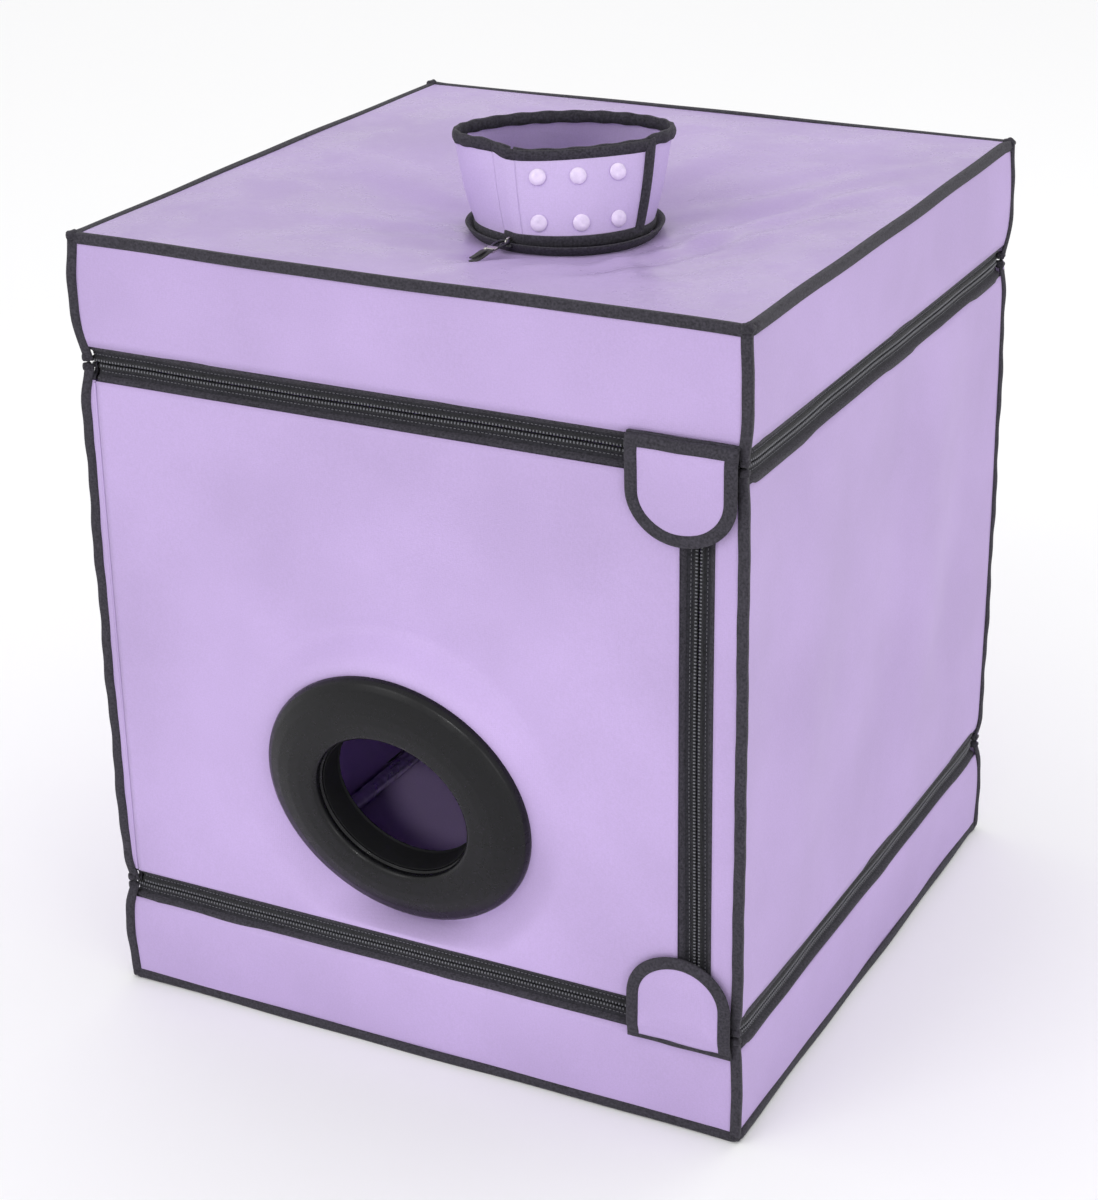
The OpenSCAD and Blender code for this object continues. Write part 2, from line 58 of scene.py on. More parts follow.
PX, PY, PZ, TILT = -8.0, -228.0, 184.6, math.radians(11.5)

# ------------------------------------------------------------------ materials
def new_mat(name):
    m = bpy.data.materials.new(name)
    m.use_nodes = True
    return m, m.node_tree, m.node_tree.nodes["Principled BSDF"]

def noise(nt, vec, scale, detail=4.0, rough=0.5):
    n = nt.nodes.new("ShaderNodeTexNoise")
    n.inputs["Scale"].default_value = scale
    n.inputs["Detail"].default_value = detail
    n.inputs["Roughness"].default_value = rough
    nt.links.new(vec, n.inputs["Vector"])
    return n.outputs["Fac"]

def bump(nt, h, strength, dist, normal=None):
    b = nt.nodes.new("ShaderNodeBump")
    b.inputs["Strength"].default_value = strength
    b.inputs["Distance"].default_value = dist
    nt.links.new(h, b.inputs["Height"])
    if normal is not None:
        nt.links.new(normal, b.inputs["Normal"])
    return b.outputs["Normal"]

def ramp(nt, fac, c0, c1, p0=0.3, p1=0.7):
    r = nt.nodes.new("ShaderNodeValToRGB")
    r.color_ramp.elements[0].position = p0
    r.color_ramp.elements[1].position = p1
    r.color_ramp.elements[0].color = (*c0, 1)
    r.color_ramp.elements[1].color = (*c1, 1)
    nt.links.new(fac, r.inputs["Fac"])
    return r.outputs["Color"]

def wave(nt, vec, scale, axis):
    w = nt.nodes.new("ShaderNodeTexWave")
    w.wave_type = "BANDS"
    w.bands_direction = axis
    w.inputs["Scale"].default_value = scale
    w.inputs["Distortion"].default_value = 0.4
    nt.links.new(vec, w.inputs["Vector"])
    return w.outputs["Fac"]

def math_node(nt, op, a, b):
    n = nt.nodes.new("ShaderNodeMath")
    n.operation = op
    for i, v in enumerate((a, b)):
        if isinstance(v, (int, float)):
            n.inputs[i].default_value = v
        else:
            nt.links.new(v, n.inputs[i])
    return n.outputs[0]

def cloth(name, c, rough=0.62, sheen=0.25, gloss=0.0, crinkle=0.35):
    m, nt, b = new_mat(name)
    co = nt.nodes.new("ShaderNodeTexCoord")
    uv, ob = co.outputs["UV"], co.outputs["Object"]
    weave = math_node(nt, "MULTIPLY", wave(nt, uv, 260, "X"), wave(nt, uv, 260, "Y"))
    fine = noise(nt, ob, 900, 2)
    big = noise(nt, ob, 9, 3)
    mid = noise(nt, ob, 60, 4, 0.6)
    k = lambda s: tuple(min(1, v * s) for v in c)
    base = ramp(nt, big, k(0.95), k(1.04), 0.35, 0.65)
    mix = nt.nodes.new("ShaderNodeMix")
    mix.data_type = "RGBA"
    mix.blend_type = "MULTIPLY"
    mix.inputs[0].default_value = 1.0
    nt.links.new(base, mix.inputs[6])
    nt.links.new(ramp(nt, fine, (0.93, 0.93, 0.93), (1, 1, 1), 0.3, 0.7), mix.inputs[7])
    nt.links.new(mix.outputs[2], b.inputs["Base Color"])
    n = bump(nt, mid, crinkle, 0.0009)
    n = bump(nt, fine, 0.22, 0.0002, n)
    n = bump(nt, weave, 0.3, 0.0002, n)
    nt.links.new(n, b.inputs["Normal"])
    b.inputs["Roughness"].default_value = rough
    b.inputs["Sheen Weight"].default_value = sheen
    tr = nt.nodes.new("ShaderNodeBsdfTranslucent")
    nt.links.new(mix.outputs[2], tr.inputs["Color"])
    ms = nt.nodes.new("ShaderNodeMixShader")
    ms.inputs[0].default_value = 0.13
    b.inputs["Specular IOR Level"].default_value = 0.3
    nt.links.new(b.outputs[0], ms.inputs[1])
    nt.links.new(tr.outputs[0], ms.inputs[2])
    nt.links.new(ms.outputs[0], nt.nodes["Material Output"].inputs["Surface"])
    b.inputs["Sheen Roughness"].default_value = 0.5
    if gloss:
        g = ramp(nt, noise(nt, ob, 22, 5, 0.6), (rough - gloss,) * 3, (rough,) * 3, 0.4, 0.6)
        nt.links.new(g, b.inputs["Roughness"])
    return m

def tape_mat(name, c, pitch=420, rough=0.75, rib="X"):
    m, nt, b = new_mat(name)
    co = nt.nodes.new("ShaderNodeTexCoord")
    uv, ob = co.outputs["UV"], co.outputs["Object"]
    rb = wave(nt, uv, pitch, rib)
    fine = noise(nt, ob, 700, 3)
    k = lambda s: tuple(min(1, v * s) for v in c)
    nt.links.new(ramp(nt, fine, k(0.6), k(1.6), 0.3, 0.7), b.inputs["Base Color"])
    n = bump(nt, rb, 0.5, 0.0003)
    n = bump(nt, fine, 0.5, 0.0003, n)
    n = bump(nt, noise(nt, ob, 70, 3), 0.4, 0.0010, n)
    nt.links.new(n, b.inputs["Normal"])
    b.inputs["Roughness"].default_value = rough
    b.inputs["Sheen Weight"].default_value = 0.06
    b.inputs["Specular IOR Level"].default_value = 0.16
    return m

LIL = (0.572, 0.436, 0.75)
M_cloth = cloth("lilac_fabric", LIL, 0.66, 0.06)
# painted shade: the lid top uses a darker copy of the lilac fabric, so its shade is painted into the colour
M_top_painted_shade = cloth("lilac_top_painted_shade", (0.505, 0.382, 0.678), 0.42, 0.04, 0.2, 0.7)
# painted light: the collar uses a lighter copy of the lilac fabric, so the light on and inside it is painted into the
# colour
M_collar_painted_light = cloth("lilac_collar_painted_light", (0.68, 0.545, 0.865), 0.66, 0.06)
M_bind = tape_mat("black_binding", (0.037, 0.034, 0.044))
M_tape = tape_mat("zip_tape", (0.020, 0.019, 0.025), 500, 0.7)
M_bead = tape_mat("zip_bead", (0.018, 0.018, 0.021), 700, 0.45, "X")

def simple(name, c, rough, metal=0.0, nb=0.0, ns=300, coat=0.0):
    m, nt, b = new_mat(name)
    co = nt.nodes.new("ShaderNodeTexCoord")
    f = noise(nt, co.outputs["Object"], ns, 4)
    k = lambda s: tuple(min(1, v * s) for v in c)
    nt.links.new(ramp(nt, f, k(0.88), k(1.1), 0.3, 0.7), b.inputs["Base Color"])
    r = ramp(nt, noise(nt, co.outputs["Object"], ns * 0.3, 3), (max(0, rough - 0.06),) * 3, (rough + 0.08,) * 3)
    nt.links.new(r, b.inputs["Roughness"])
    b.inputs["Metallic"].default_value = metal
    b.inputs["Coat Weight"].default_value = coat
    if nb:
        nt.links.new(bump(nt, f, nb, 0.0002), b.inputs["Normal"])
    return m

M_stitch = simple("stitch", (0.15, 0.15, 0.17), 0.5)
M_port = simple("port_plastic", (0.004, 0.004, 0.005), 0.30, 0, 0.08, 900)
M_port.node_tree.nodes["Principled BSDF"].inputs["Specular IOR Level"].default_value = 0.26
M_rubber = simple("port_rubber", (0.006, 0.006, 0.007), 0.6, 0, 0.3, 500)
M_rubber.node_tree.nodes["Principled BSDF"].inputs["Specular IOR Level"].default_value = 0.2
M_teeth = simple("zip_teeth", (0.155, 0.155, 0.175), 0.45, 0, 0.1, 500)
M_snap = simple("snap_plastic", (0.80, 0.68, 0.93), 0.22, 0, 0, 200, 0.4)
M_metal = simple("zip_metal", (0.05, 0.05, 0.055), 0.32, 0.85, 0.1, 400)
M_bright = simple("zip_bright", (0.55, 0.53, 0.5), 0.25, 1.0, 0.1, 400)
M_alu = simple("frame_tube", (0.75, 0.76, 0.78), 0.3, 1.0, 0.05, 200)
M_conn = simple("connector_plastic", (0.12, 0.12, 0.13), 0.5, 0, 0.2, 500)
M_leather = simple("pull_tail", (0.03, 0.028, 0.03), 0.6, 0, 0.5, 400)

# ------------------------------------------------------------------ mesh helpers (millimetres in)
def mesh(name, pts, faces, mats, body, uvs=None, fmat=None, smooth=True):
    me = bpy.data.meshes.new(name)
    me.from_pydata([tuple(p) for p in np.asarray(pts) * 0.001], [], [tuple(int(i) for i in f) for f in faces])
    for m in mats:
        me.materials.append(m)
    if uvs is not None:
        uvs = np.asarray(uvs) * 0.001
        lay = me.uv_layers.new(name="UVMap")
        idx = np.zeros(len(me.loops), np.int32)
        me.loops.foreach_get("vertex_index", idx)
        lay.data.foreach_set("uv", uvs[idx].astype(np.float32).ravel())
    if fmat is not None:
        me.polygons.foreach_set("material_index", np.asarray(fmat, np.int32))
    me.polygons.foreach_set("use_smooth", [smooth] * len(me.polygons))
    me.validate()
    me.update()
    o = bpy.data.objects.new(name, me)
    bpy.context.scene.collection.objects.link(o)
    if body:
        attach(o, body)
    return o

def normals_of(G, cu):
    """Normals of a grid of points (nu, nv, 3)."""
    du = np.gradient(G, axis=0)
    if cu:
        du[0] = G[1] - G[-1]
        du[-1] = G[0] - G[-2]
    dv = np.gradient(G, axis=1)
    n = np.cross(du, dv)
    return n / np.maximum(np.linalg.norm(n, axis=2, keepdims=True), 1e-9)

def shell(name, G, th, mat, body, closed=False, flip=False, uv=None, keep=None):
    """A thick sheet from a grid of points on its outer face; keep is a mask of the cells to build."""
    nu, nv = G.shape[:2]
    n = normals_of(G, closed)
    if flip:
        n = -n
    B = G - n * th
    pts = np.vstack([G.reshape(-1, 3), B.reshape(-1, 3)])
    K = nu * nv
    cu = nu if closed else nu - 1
    faces, seen = [], {}
    def ok(i, j):
        if j < 0 or j >= nv - 1:
            return False
        if not closed and (i < 0 or i >= nu - 1):
            return False
        return keep is None or keep[i % nu, j]
    for i in range(cu):
        a2 = (i + 1) % nu
        for j in range(nv - 1):
            if not ok(i, j):
                continue
            a, b, c, d = i * nv + j, a2 * nv + j, a2 * nv + j + 1, i * nv + j + 1
            q = (a, b, c, d)
            for e, (x, y) in (((i - 1, j), (d, a)), ((i + 1, j), (b, c)), ((i, j - 1), (a, b)), ((i, j + 1), (c, d))):
                if not ok(*e):
                    f = (y, x, x + K, y + K)
                    faces.append(f if not flip else f[::-1])
            faces.append(q if not flip else q[::-1])
            r = (d + K, c + K, b + K, a + K)
            faces.append(r if not flip else r[::-1])
    if uv is None:
        L = np.linalg.norm(np.diff(G, axis=0), axis=2).mean(1)
        M = np.linalg.norm(np.diff(G, axis=1), axis=2).mean(0)
        uu = np.concatenate([[0], np.cumsum(L)])
        vv = np.concatenate([[0], np.cumsum(M)])
        uv = np.stack(np.meshgrid(uu, vv, indexing="ij"), 2)
    uvs = np.vstack([uv.reshape(-1, 2)] * 2)
    return mesh(name, pts, faces, [mat], body, uvs)

def sweep(name, path, N, B, prof, mats, body, closed=False, pm=None, scale=None, vary=None):
    """A closed profile [(along N, along B)] carried along a path; pm gives each profile edge its material."""
    path, N, B = (np.asarray(v, float) for v in (path, N, B))
    prof = np.asarray(prof, float)
    n, k = len(path), len(prof)
    pts, uvs = [], []
    s = np.concatenate([[0], np.cumsum(np.linalg.norm(np.diff(path, axis=0), axis=1))])
    t = np.concatenate([[0], np.cumsum(np.linalg.norm(np.diff(prof, axis=0), axis=1))])
    for i in range(n):
        sc = 1 if scale is None else scale[i]
        pr = prof * sc
        if vary is not None:
            pr = vary(i, pr)
        pts.append(path[i] + pr[:, :1] * N[i] + pr[:, 1:] * B[i])
        uvs.append(np.stack([np.full(k, s[i]), t], 1))
    pts = np.vstack(pts)
    faces, fm = [], []
    m = n if closed else n - 1
    for i in range(m):
        j = (i + 1) % n
        for a in range(k):
            b = (a + 1) % k
            faces.append((i * k + a, i * k + b, j * k + b, j * k + a))
            fm.append(0 if pm is None else pm[a])
    if not closed:
        faces.append(tuple(range(k))[::-1])
        faces.append(tuple((n - 1) * k + a for a in range(k)))
        fm += [fm[0], fm[0]]
    o = mesh(name, pts, faces, mats, body, np.vstack(uvs), fm)
    import bmesh
    bm = bmesh.new()
    bm.from_mesh(o.data)
    bmesh.ops.recalc_face_normals(bm, faces=bm.faces)
    bm.to_mesh(o.data)
    bm.free()
    return o

def boxes(name, centres, U, V, Nn, size, mat, body):
    """Many small blocks: centres (n,3), axes (n,3), size (a, b, c)."""
    c, U, V, Nn = (np.asarray(v, float) for v in (centres, U, V, Nn))
    pts, faces = [], []
    q = [(-1, -1, -1), (1, -1, -1), (1, 1, -1), (-1, 1, -1), (-.6, -.6, 1), (.6, -.6, 1), (.6, .6, 1), (-.6, .6, 1)]
    for a, b, d in q:
        pts.append(c + U * a * size[0] + V * b * size[1] + Nn * d * size[2])
    pts = np.stack(pts, 1).reshape(-1, 3)
    for i in range(len(c)):
        o = i * 8
        for f in ((0, 3, 2, 1), (4, 5, 6, 7), (0, 1, 5, 4), (1, 2, 6, 5), (2, 3, 7, 6), (3, 0, 4, 7)):
            faces.append([o + v for v in f])
    return mesh(name, pts, faces, [mat], body, smooth=True)

# ------------------------------------------------------------------ shape of the cloth box
def wob(seed, n=6, lo=1.0, hi=4.0):
    r = np.random.default_rng(seed)
    k = r.uniform(lo, hi, (n, 2)) * r.choice([-1, 1], (n, 2))
    ph, am = r.uniform(0, 6.28, n), r.uniform(0.4, 1, n)
    def f(u, v):
        return sum(am[i] * np.sin(k[i, 0] * u * 3.1 + k[i, 1] * v * 3.1 + ph[i]) for i in range(n)) / n
    return f

def pinch(z):
    """How far the vertical edges lean out, in mm: in at the zip lines, out between them."""
    z = np.asarray(z, float)
    g = -2.6 * (np.exp(-((z - ZL) / 13) ** 2) + np.exp(-((z - ZU) / 13) ** 2))
    b = np.where(z > ZU, 2.2 * np.sin(np.pi * np.clip((z - ZU) / (H - ZU), 0, 1)),
        np.where(z > ZL, 1.0 * np.sin(np.pi * np.clip((z - ZL) / (ZU - ZL), 0, 1)), 1.5 * np.sin(np.pi * np.clip(z / ZL, 0, 1))))
    return g + b

def side_point(side, s, z, d):
    """side 0 front, 1 right, 2 back, 3 left; s runs to the viewer's right seen from outside; d is outwards."""
    if side == 0: return np.stack([s, -(P + d), z], -1)
    if side == 1: return np.stack([P + d, s, z], -1)
    if side == 2: return np.stack([-s, P + d, z], -1)
    return np.stack([-(P + d), -s, z], -1)

def cloth_wall(name, side, s0, s1, z0, z1, body, seed, amp=1.4, vert=0.0, th=0.9, mat=None):
    nu, nv = max(8, int((s1 - s0) / 5)), max(8, int((z1 - z0) / 5))
    s, z = np.meshgrid(np.linspace(s0, s1, nu), np.linspace(z0, z1, nv), indexing="ij")
    a, b = s / W, z / W
    e = np.clip(1 - np.abs(s / P) ** 4, 0, 1)
    t = (z - z0) / (z1 - z0)
    ez = np.sin(np.pi * t) ** 0.6
    f, g = wob(seed), wob(seed + 50, 5, 2.0, 6.0)
    d = pinch(z) * (0.35 + 0.65 * np.abs(s / P) ** 3) + e * ez * amp * (f(a, b) * 1.5 + 0.35 * g(a * 1.3, b * 1.1))
    if vert:
        d = d + vert * e * ez * (np.sin(a * 7 + 0.8 * np.sin(b * 2) + seed) + 0.5 * np.sin(a * 13 - b * 1.5 + seed))
    return shell(name, side_point(side, s, z, d), th, mat or M_cloth, body)

sheets = {}
PC = cloth_wall
sheets["wall_right_cloth"] = PC("wall_right_cloth", 1, -P + 1, P - 1, ZL + 11, ZU - 11, "shell", 11, 2.0, 3.3)
sheets["wall_left_cloth"] = PC("wall_left_cloth", 3, -P + 1, P - 1, ZL + 11, ZU - 11, "shell", 12, 1.9, 2.4)
sheets["wall_back_cloth"] = PC("wall_back_cloth", 2, -P, P, ZL + 0.6, ZU - 0.6, "shell", 13, 1.7, 1.7)
for side, nm in enumerate(("front", "right", "back", "left")):
    lo = ZU + (0.5 if side == 2 else 11)
    k = 0 if side in (0, 2) else 1
    sheets["lid_band_" + nm] = PC("lid_band_" + nm, side, -P + k, P - k, lo, H - 1.6, "lid", 20 + side, 1.2)
    sheets["base_band_" + nm] = PC("base_band_" + nm, side, -P + k, P - k, 1.0, ZL - (0.6 if side == 2 else 11), "base", 30 + side, 1.5)
strip = PC("strip_cloth", 0, VX + 11, P - 2, ZL + 11, ZU - 11, "shell", 41, 0.2)
strip_l = PC("strip_left_cloth", 0, -P, -W + 9.4, ZL + 11, ZU - 11, "shell", 42, 0.1)

# ------------------------------------------------------------------ door cloth with the skirt to the port
def pw(x, y, z):
    return np.stack([PX + x, PY - math.sin(TILT) * y - math.cos(TILT) * z, PZ + math.cos(TILT) * y - math.sin(TILT) * z], -1)

def door_d(x, z):
    a, b = x / W, z / W
    f, g = wob(61), wob(62, 5, 2, 6)
    e = np.clip(1 - ((x - (-16)) / 199) ** 4, 0, 1)
    t = (z - ZL - 10) / (ZU - ZL - 20)
    ez = np.clip(np.sin(np.pi * np.clip(t, 0, 1)), 0, 1) ** 0.6
    d = pinch(z) * 0.35 + e * ez * (1.9 * f(a, b) + 0.5 * g(a, b) + 0.9 * np.sin(a * 8 + np.sin(b * 3)) * t)
    return d

x0, x1, z0, z1 = HX + 1.4, VX - 11, ZL + 11, ZU - 11
na, nr = 160, 46
ang = np.linspace(0, 2 * np.pi, na, endpoint=False)
# make four rays run to the corners
cor = [math.atan2(cx_ - PX, cz_ - PZ) % (2 * math.pi) for cx_, cz_ in ((x0, z0), (x0, z1), (x1, z0), (x1, z1))]
for c_ in cor:
    ang[np.argmin(np.abs(ang - c_))] = c_
sa_, ca_ = np.sin(ang), np.cos(ang)
with np.errstate(divide="ignore"):
    rx = np.where(sa_ > 0, (x1 - PX) / sa_, np.where(sa_ < 0, (x0 - PX) / sa_, 1e9))
    rz = np.where(ca_ > 0, (z1 - PZ) / ca_, np.where(ca_ < 0, (z0 - PZ) / ca_, 1e9))
rmax = np.minimum(np.abs(rx), np.abs(rz))
G = np.zeros((na, nr + 1, 3))
RI = 88.0
ring_in = pw(RI * sa_, RI * ca_, np.full(na, -5.4))
for j in range(nr + 1):
    q = (j / nr) ** 1.35
    r = RI + (rmax - RI) * q
    x, z = PX + r * sa_, PZ + r * ca_
    flat = side_point(0, x, z, door_d(x, z))
    # the cloth rises to the tilted rim within about 26 mm of it
    w = np.clip(1 - (r - 92.5) / np.minimum(26, np.maximum(rmax - 93, 4)), 0, 1)
    w = w * w * (3 - 2 * w)
    rim = pw(r * sa_, r * ca_, np.full(na, -5.4))
    G[:, j] = flat
    G[:, j, 1] = flat[:, 1] * (1 - w) + rim[:, 1] * w
door_cloth = shell("door_cloth", G[:, ::-1], 0.9, M_cloth, "door", closed=True, flip=False, uv=np.stack([G[:, ::-1, 0], G[:, ::-1, 2]], -1))

# ------------------------------------------------------------------ lid top
def smooth(t):
    t = np.clip(t, 0, 1)
    return t * t * (3 - 2 * t)

def top_z(x, y):
    et = np.clip(np.minimum(P - np.abs(x), P - np.abs(y)) / 150, 0, 1)
    r = np.sqrt((x - CX) ** 2 + (y - CY) ** 2)
    nt_ = 1 - np.clip((r - 62) / 170, 0, 1)
    return H - 1 - DISH * nt_ ** 1.6 * smooth(et * 1.4)

def top_fold(x, y):
    a = np.arctan2(y - CY, x - CX)
    r = np.sqrt((x - CX) ** 2 + (y - CY) ** 2)
    et = np.clip(np.minimum(P - np.abs(x), P - np.abs(y)) / 60, 0, 1)
    away = smooth((r - 58) / 40)
    rad = np.sin(5 * a + 1.1) * 0.9 + np.sin(9 * a + 0.4 + r * 0.01) * 0.7 + 0.5 * np.sin(17 * a + r * 0.02)
    f = wob(71, 6, 1, 4)(x / W, y / W)
    # diagonal creases towards the right-hand corner
    u = (x * 0.55 + y * 0.83)
    v = (x * 0.83 - y * 0.55)
    cre = 0.9 * np.exp(-((v - 120) / 60) ** 2) * np.sin(v * 0.16 + 1.5 * np.sin(u * 0.012)) * smooth((x - 20) / 80)
    return et * away * (rad * 1.5 * np.exp(-((r - 95) / 110) ** 2) + 1.6 * f + 2.0 * cre)

ang = np.linspace(0, 2 * np.pi, 240, endpoint=False)
for sx in (-1, 1):
    for sy in (-1, 1):
        c_ = math.atan2(sy * P - CY, sx * P - CX) % (2 * math.pi)
        ang[np.argmin(np.abs(ang - c_))] = c_
ca_, sa_ = np.cos(ang), np.sin(ang)
with np.errstate(divide="ignore"):
    rx = np.where(ca_ > 0, (P - CX) / ca_, (-P - CX) / ca_)
    ry = np.where(sa_ > 0, (P - CY) / sa_, (-P - CY) / sa_)
rmax = np.minimum(np.abs(rx), np.abs(ry))
nr = 44
G = np.zeros((240, nr + 1, 3))
for j in range(nr + 1):
    r = 53 + (rmax - 53) * (j / nr) ** 1.1
    x, y = CX + r * ca_, CY + r * sa_
    G[:, j] = np.stack([x, y, top_z(x, y) + top_fold(x, y)], -1)
top_cloth = shell("lid_top_cloth", G, 0.9, M_top_painted_shade, "lid", closed=True, flip=False, uv=G[:, :, :2])

base_cloth = None

# ------------------------------------------------------------------ edge bindings
def edge_path(points, n_each=40):
    out = []
    for a, b in zip(points[:-1], points[1:]):
        t = np.linspace(0, 1, n_each, endpoint=False)[:, None]
        out.append(np.asarray(a) * (1 - t) + np.asarray(b) * t)
    out.append([points[-1]])
    return np.vstack(out)

binds = {"base": [], "shell": [], "lid": [], "door": []}
def corner_binding(name, sx, sy, z0, z1, body, wf=5.2, ws=3.8):
    n = max(6, int((z1 - z0) / 4))
    z = np.linspace(z0, z1, n)
    c = pinch(z) + 0.35 * np.sin(z * 0.07 + sx + sy) + 0.2 * np.sin(z * 0.23)
    end = 1 - 0.25 * (np.exp(-((z - z0) / 4) ** 2) + np.exp(-((z - z1) / 4) ** 2))
    path = np.stack([sx * (P + c * 0.9), sy * (P + c * 0.9), z], -1)
    N = np.tile([sx, 0, 0], (n, 1)).astype(float)
    B = np.tile([0, sy, 0], (n, 1)).astype(float)
    pr = [(-wf, 0.2), (-wf + 0.3, 0.9), (-wf / 2, 1.25), (-1.2, 1.5), (0.6, 1.5), (1.3, 1.2), (1.6, 0.5), (1.5, -1.2), (1.2, -ws / 2), (0.9, -ws + 0.3), (0.2, -ws), (-0.5, -ws), (-0.6, -0.8), (-0.9, -0.5), (-wf, -0.5)]
    o = sweep(name, path, N, B, pr, [M_bind], body)
    binds[body].append(o)
    return o
for sx in (-1, 1):
    for sy in (-1, 1):
        t = f"{'r' if sx > 0 else 'l'}{'b' if sy > 0 else 'f'}"
        corner_binding("lid_corner_" + t, sx, sy, ZU + 1.4, H - 3, "lid")
        corner_binding("wall_corner_" + t, sx, sy, ZL + 1.4, ZU - 1.4, "shell")
        corner_binding("base_corner_" + t, sx, sy, 2.5, ZL - 1.4, "base")

def ring_binding(name, z, up, body, wt=4.6, wv=4.8):
    """Binding round the top or bottom edge of the box."""
    c = P + 0.2
    n = 60
    path, N = [], []
    rad = 5.0
    def seg(a, b, nn):
        for i in range(n):
            t = i / n
            p = np.array(a) * (1 - t) + np.array(b) * t
            w = 0.45 * math.sin(t * 9 + a[0] * 0.01) + 0.3 * math.sin(t * 23 + a[1])
            path.append([p[0] + nn[0] * w, p[1] + nn[1] * w, z + 0.4 * math.sin(t * 7 + a[1] * 0.02)])
            N.append(nn)
    def arc(cx_, cy_, a0):
        for i in range(6):
            a = math.radians(a0 + 90 * (i + 0.5) / 6)
            path.append([cx_ + rad * math.cos(a), cy_ + rad * math.sin(a), z])
            N.append([math.cos(a), math.sin(a), 0])
    k = c - rad
    seg([-k, -c], [k, -c], [0, -1, 0]); arc(k, -k, -90)
    seg([c, -k], [c, k], [1, 0, 0]); arc(k, k, 0)
    seg([k, c], [-k, c], [0, 1, 0]); arc(-k, k, 90)
    seg([-c, k], [-c, -k], [-1, 0, 0]); arc(-k, -k, 180)
    N = np.array(N)
    B = np.tile([0, 0, up], (len(path), 1)).astype(float)
    pr = [(0.1, -wv), (0.9, -wv + 0.3), (1.4, -wv / 2), (1.6, -0.6), (1.3, 1.2), (0.5, 2.1), (-0.9, 2.3), (-wt / 2, 2.0), (-wt + 0.3, 1.5), (-wt, 0.6), (-wt, -0.4), (-0.9, -0.5), (-0.5, -0.9), (-0.4, -wv)]
    o = sweep(name, path, N, B, pr, [M_bind], body, closed=True)
    binds[body].append(o)
    return o
ring_binding("lid_edge_binding_cloth", H - 1.2, 1, "lid")
ring_binding("base_edge_binding_cloth", 1.6, -1, "base")
# the small folded knots where three bindings meet
def knob(name, p, r, body):
    bpy.ops.mesh.primitive_uv_sphere_add(segments=20, ring_count=12, radius=0.001)
    o = bpy.context.object
    o.name = name
    v = np.array([w.co for w in o.data.vertices]) * 1000
    v = v * np.array(r) * (1 + 0.1 * np.sin(v[:, :1] * 5 + v[:, 1:2] * 4))
    for i, w in enumerate(o.data.vertices):
        w.co = (v[i] + np.array(p)) * 0.001
    o.data.materials.append(M_bind)
    o.data.polygons.foreach_set("use_smooth", [True] * len(o.data.polygons))
    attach(o, body)
    binds[body].append(o)
for sx in (-1, 1):
    for sy in (-1, 1):
        t = f"{'r' if sx > 0 else 'l'}{'b' if sy > 0 else 'f'}"
        knob("lid_knot_" + t, (sx * (W - 2.2), sy * (W - 2.2), H - 1.0), (4.6, 4.6, 3.4), "lid")
        knob("base_knot_" + t, (sx * (W - 2.6), sy * (W - 2.6), 3.0), (4.2, 4.2, 3.0), "base")

for sx in (-1, 1):
    for sy in (-1, 1):
        t = f"{'r' if sx > 0 else 'l'}{'b' if sy > 0 else 'f'}"
        for zz_, bb, nm in ((ZU + 3.1, "lid", "lid_top"), (ZU - 3.1, "shell", "wall_top"), (ZL + 3.1, "shell", "wall_low"), (ZL - 3.1, "base", "base_top")):
            knob(nm + "_stop_" + t, (sx * (W - 3.6), sy * (W - 3.6), zz_), (3.5, 3.5, 3.05), bb)

# ------------------------------------------------------------------ zips
# profile of one half: (outwards, away from the zip line)
ZP = [(0.2, 12.6), (0.9, 12.3), (1.2, 10.6), (0.9, 8.8), (0.0, 8.0), (-1.2, 7.6), (-2.0, 5.6), (-2.2, 4.0), (-1.3, 3.4), (-0.9, 2.4), (-1.1, 1.2), (-2.0, 0.5), (-3.6, 0.4), (-3.6, 7.5), (-0.9, 8.4), (-0.9, 12.6)]
ZM = [0, 0, 0, 0, 0, 1, 1, 2, 2, 2, 2, 2, 1, 1, 0, 0]
zip_objs = []
def zip_half(name, pts, nor, up, body, stitch=True):
    pts, nor = np.asarray(pts, float), np.asarray(nor, float)
    B = np.tile(up, (len(pts), 1)).astype(float)
    def vary(i, pr):
        return pr
    o = sweep(name, pts, nor, B, ZP, [M_bind, M_tape, M_bead], body, pm=ZM)
    binds[body].append(o)
    s = np.concatenate([[0], np.cumsum(np.linalg.norm(np.diff(pts, axis=0), axis=1))])
    def put(nm, off, out, pitch, size, mat):
        at = np.arange(pitch, s[-1] - pitch, pitch)
        C = np.stack([np.interp(at, s, pts[:, k]) for k in range(3)], 1)
        Nn = np.stack([np.interp(at, s, nor[:, k]) for k in range(3)], 1)
        Nn /= np.linalg.norm(Nn, axis=1, keepdims=True)
        V = np.tile(up, (len(at), 1)).astype(float)
        U = np.cross(V, Nn)
        q = boxes(nm, C + Nn * out + V * off, U, V, Nn, size, mat, body)
        binds[body].append(q)
    put(name + "_teeth", 1.5, -0.95, 2.2, (0.5, 0.9, 0.35), M_teeth)
    if stitch:
        put(name + "_stitch", 5.2, -1.9, 2.6, (0.8, 0.22, 0.22), M_stitch)
        put(name + "_edge_stitch", 8.9, 1.0, 3.2, (0.8, 0.12, 0.12), M_tape)
    return o

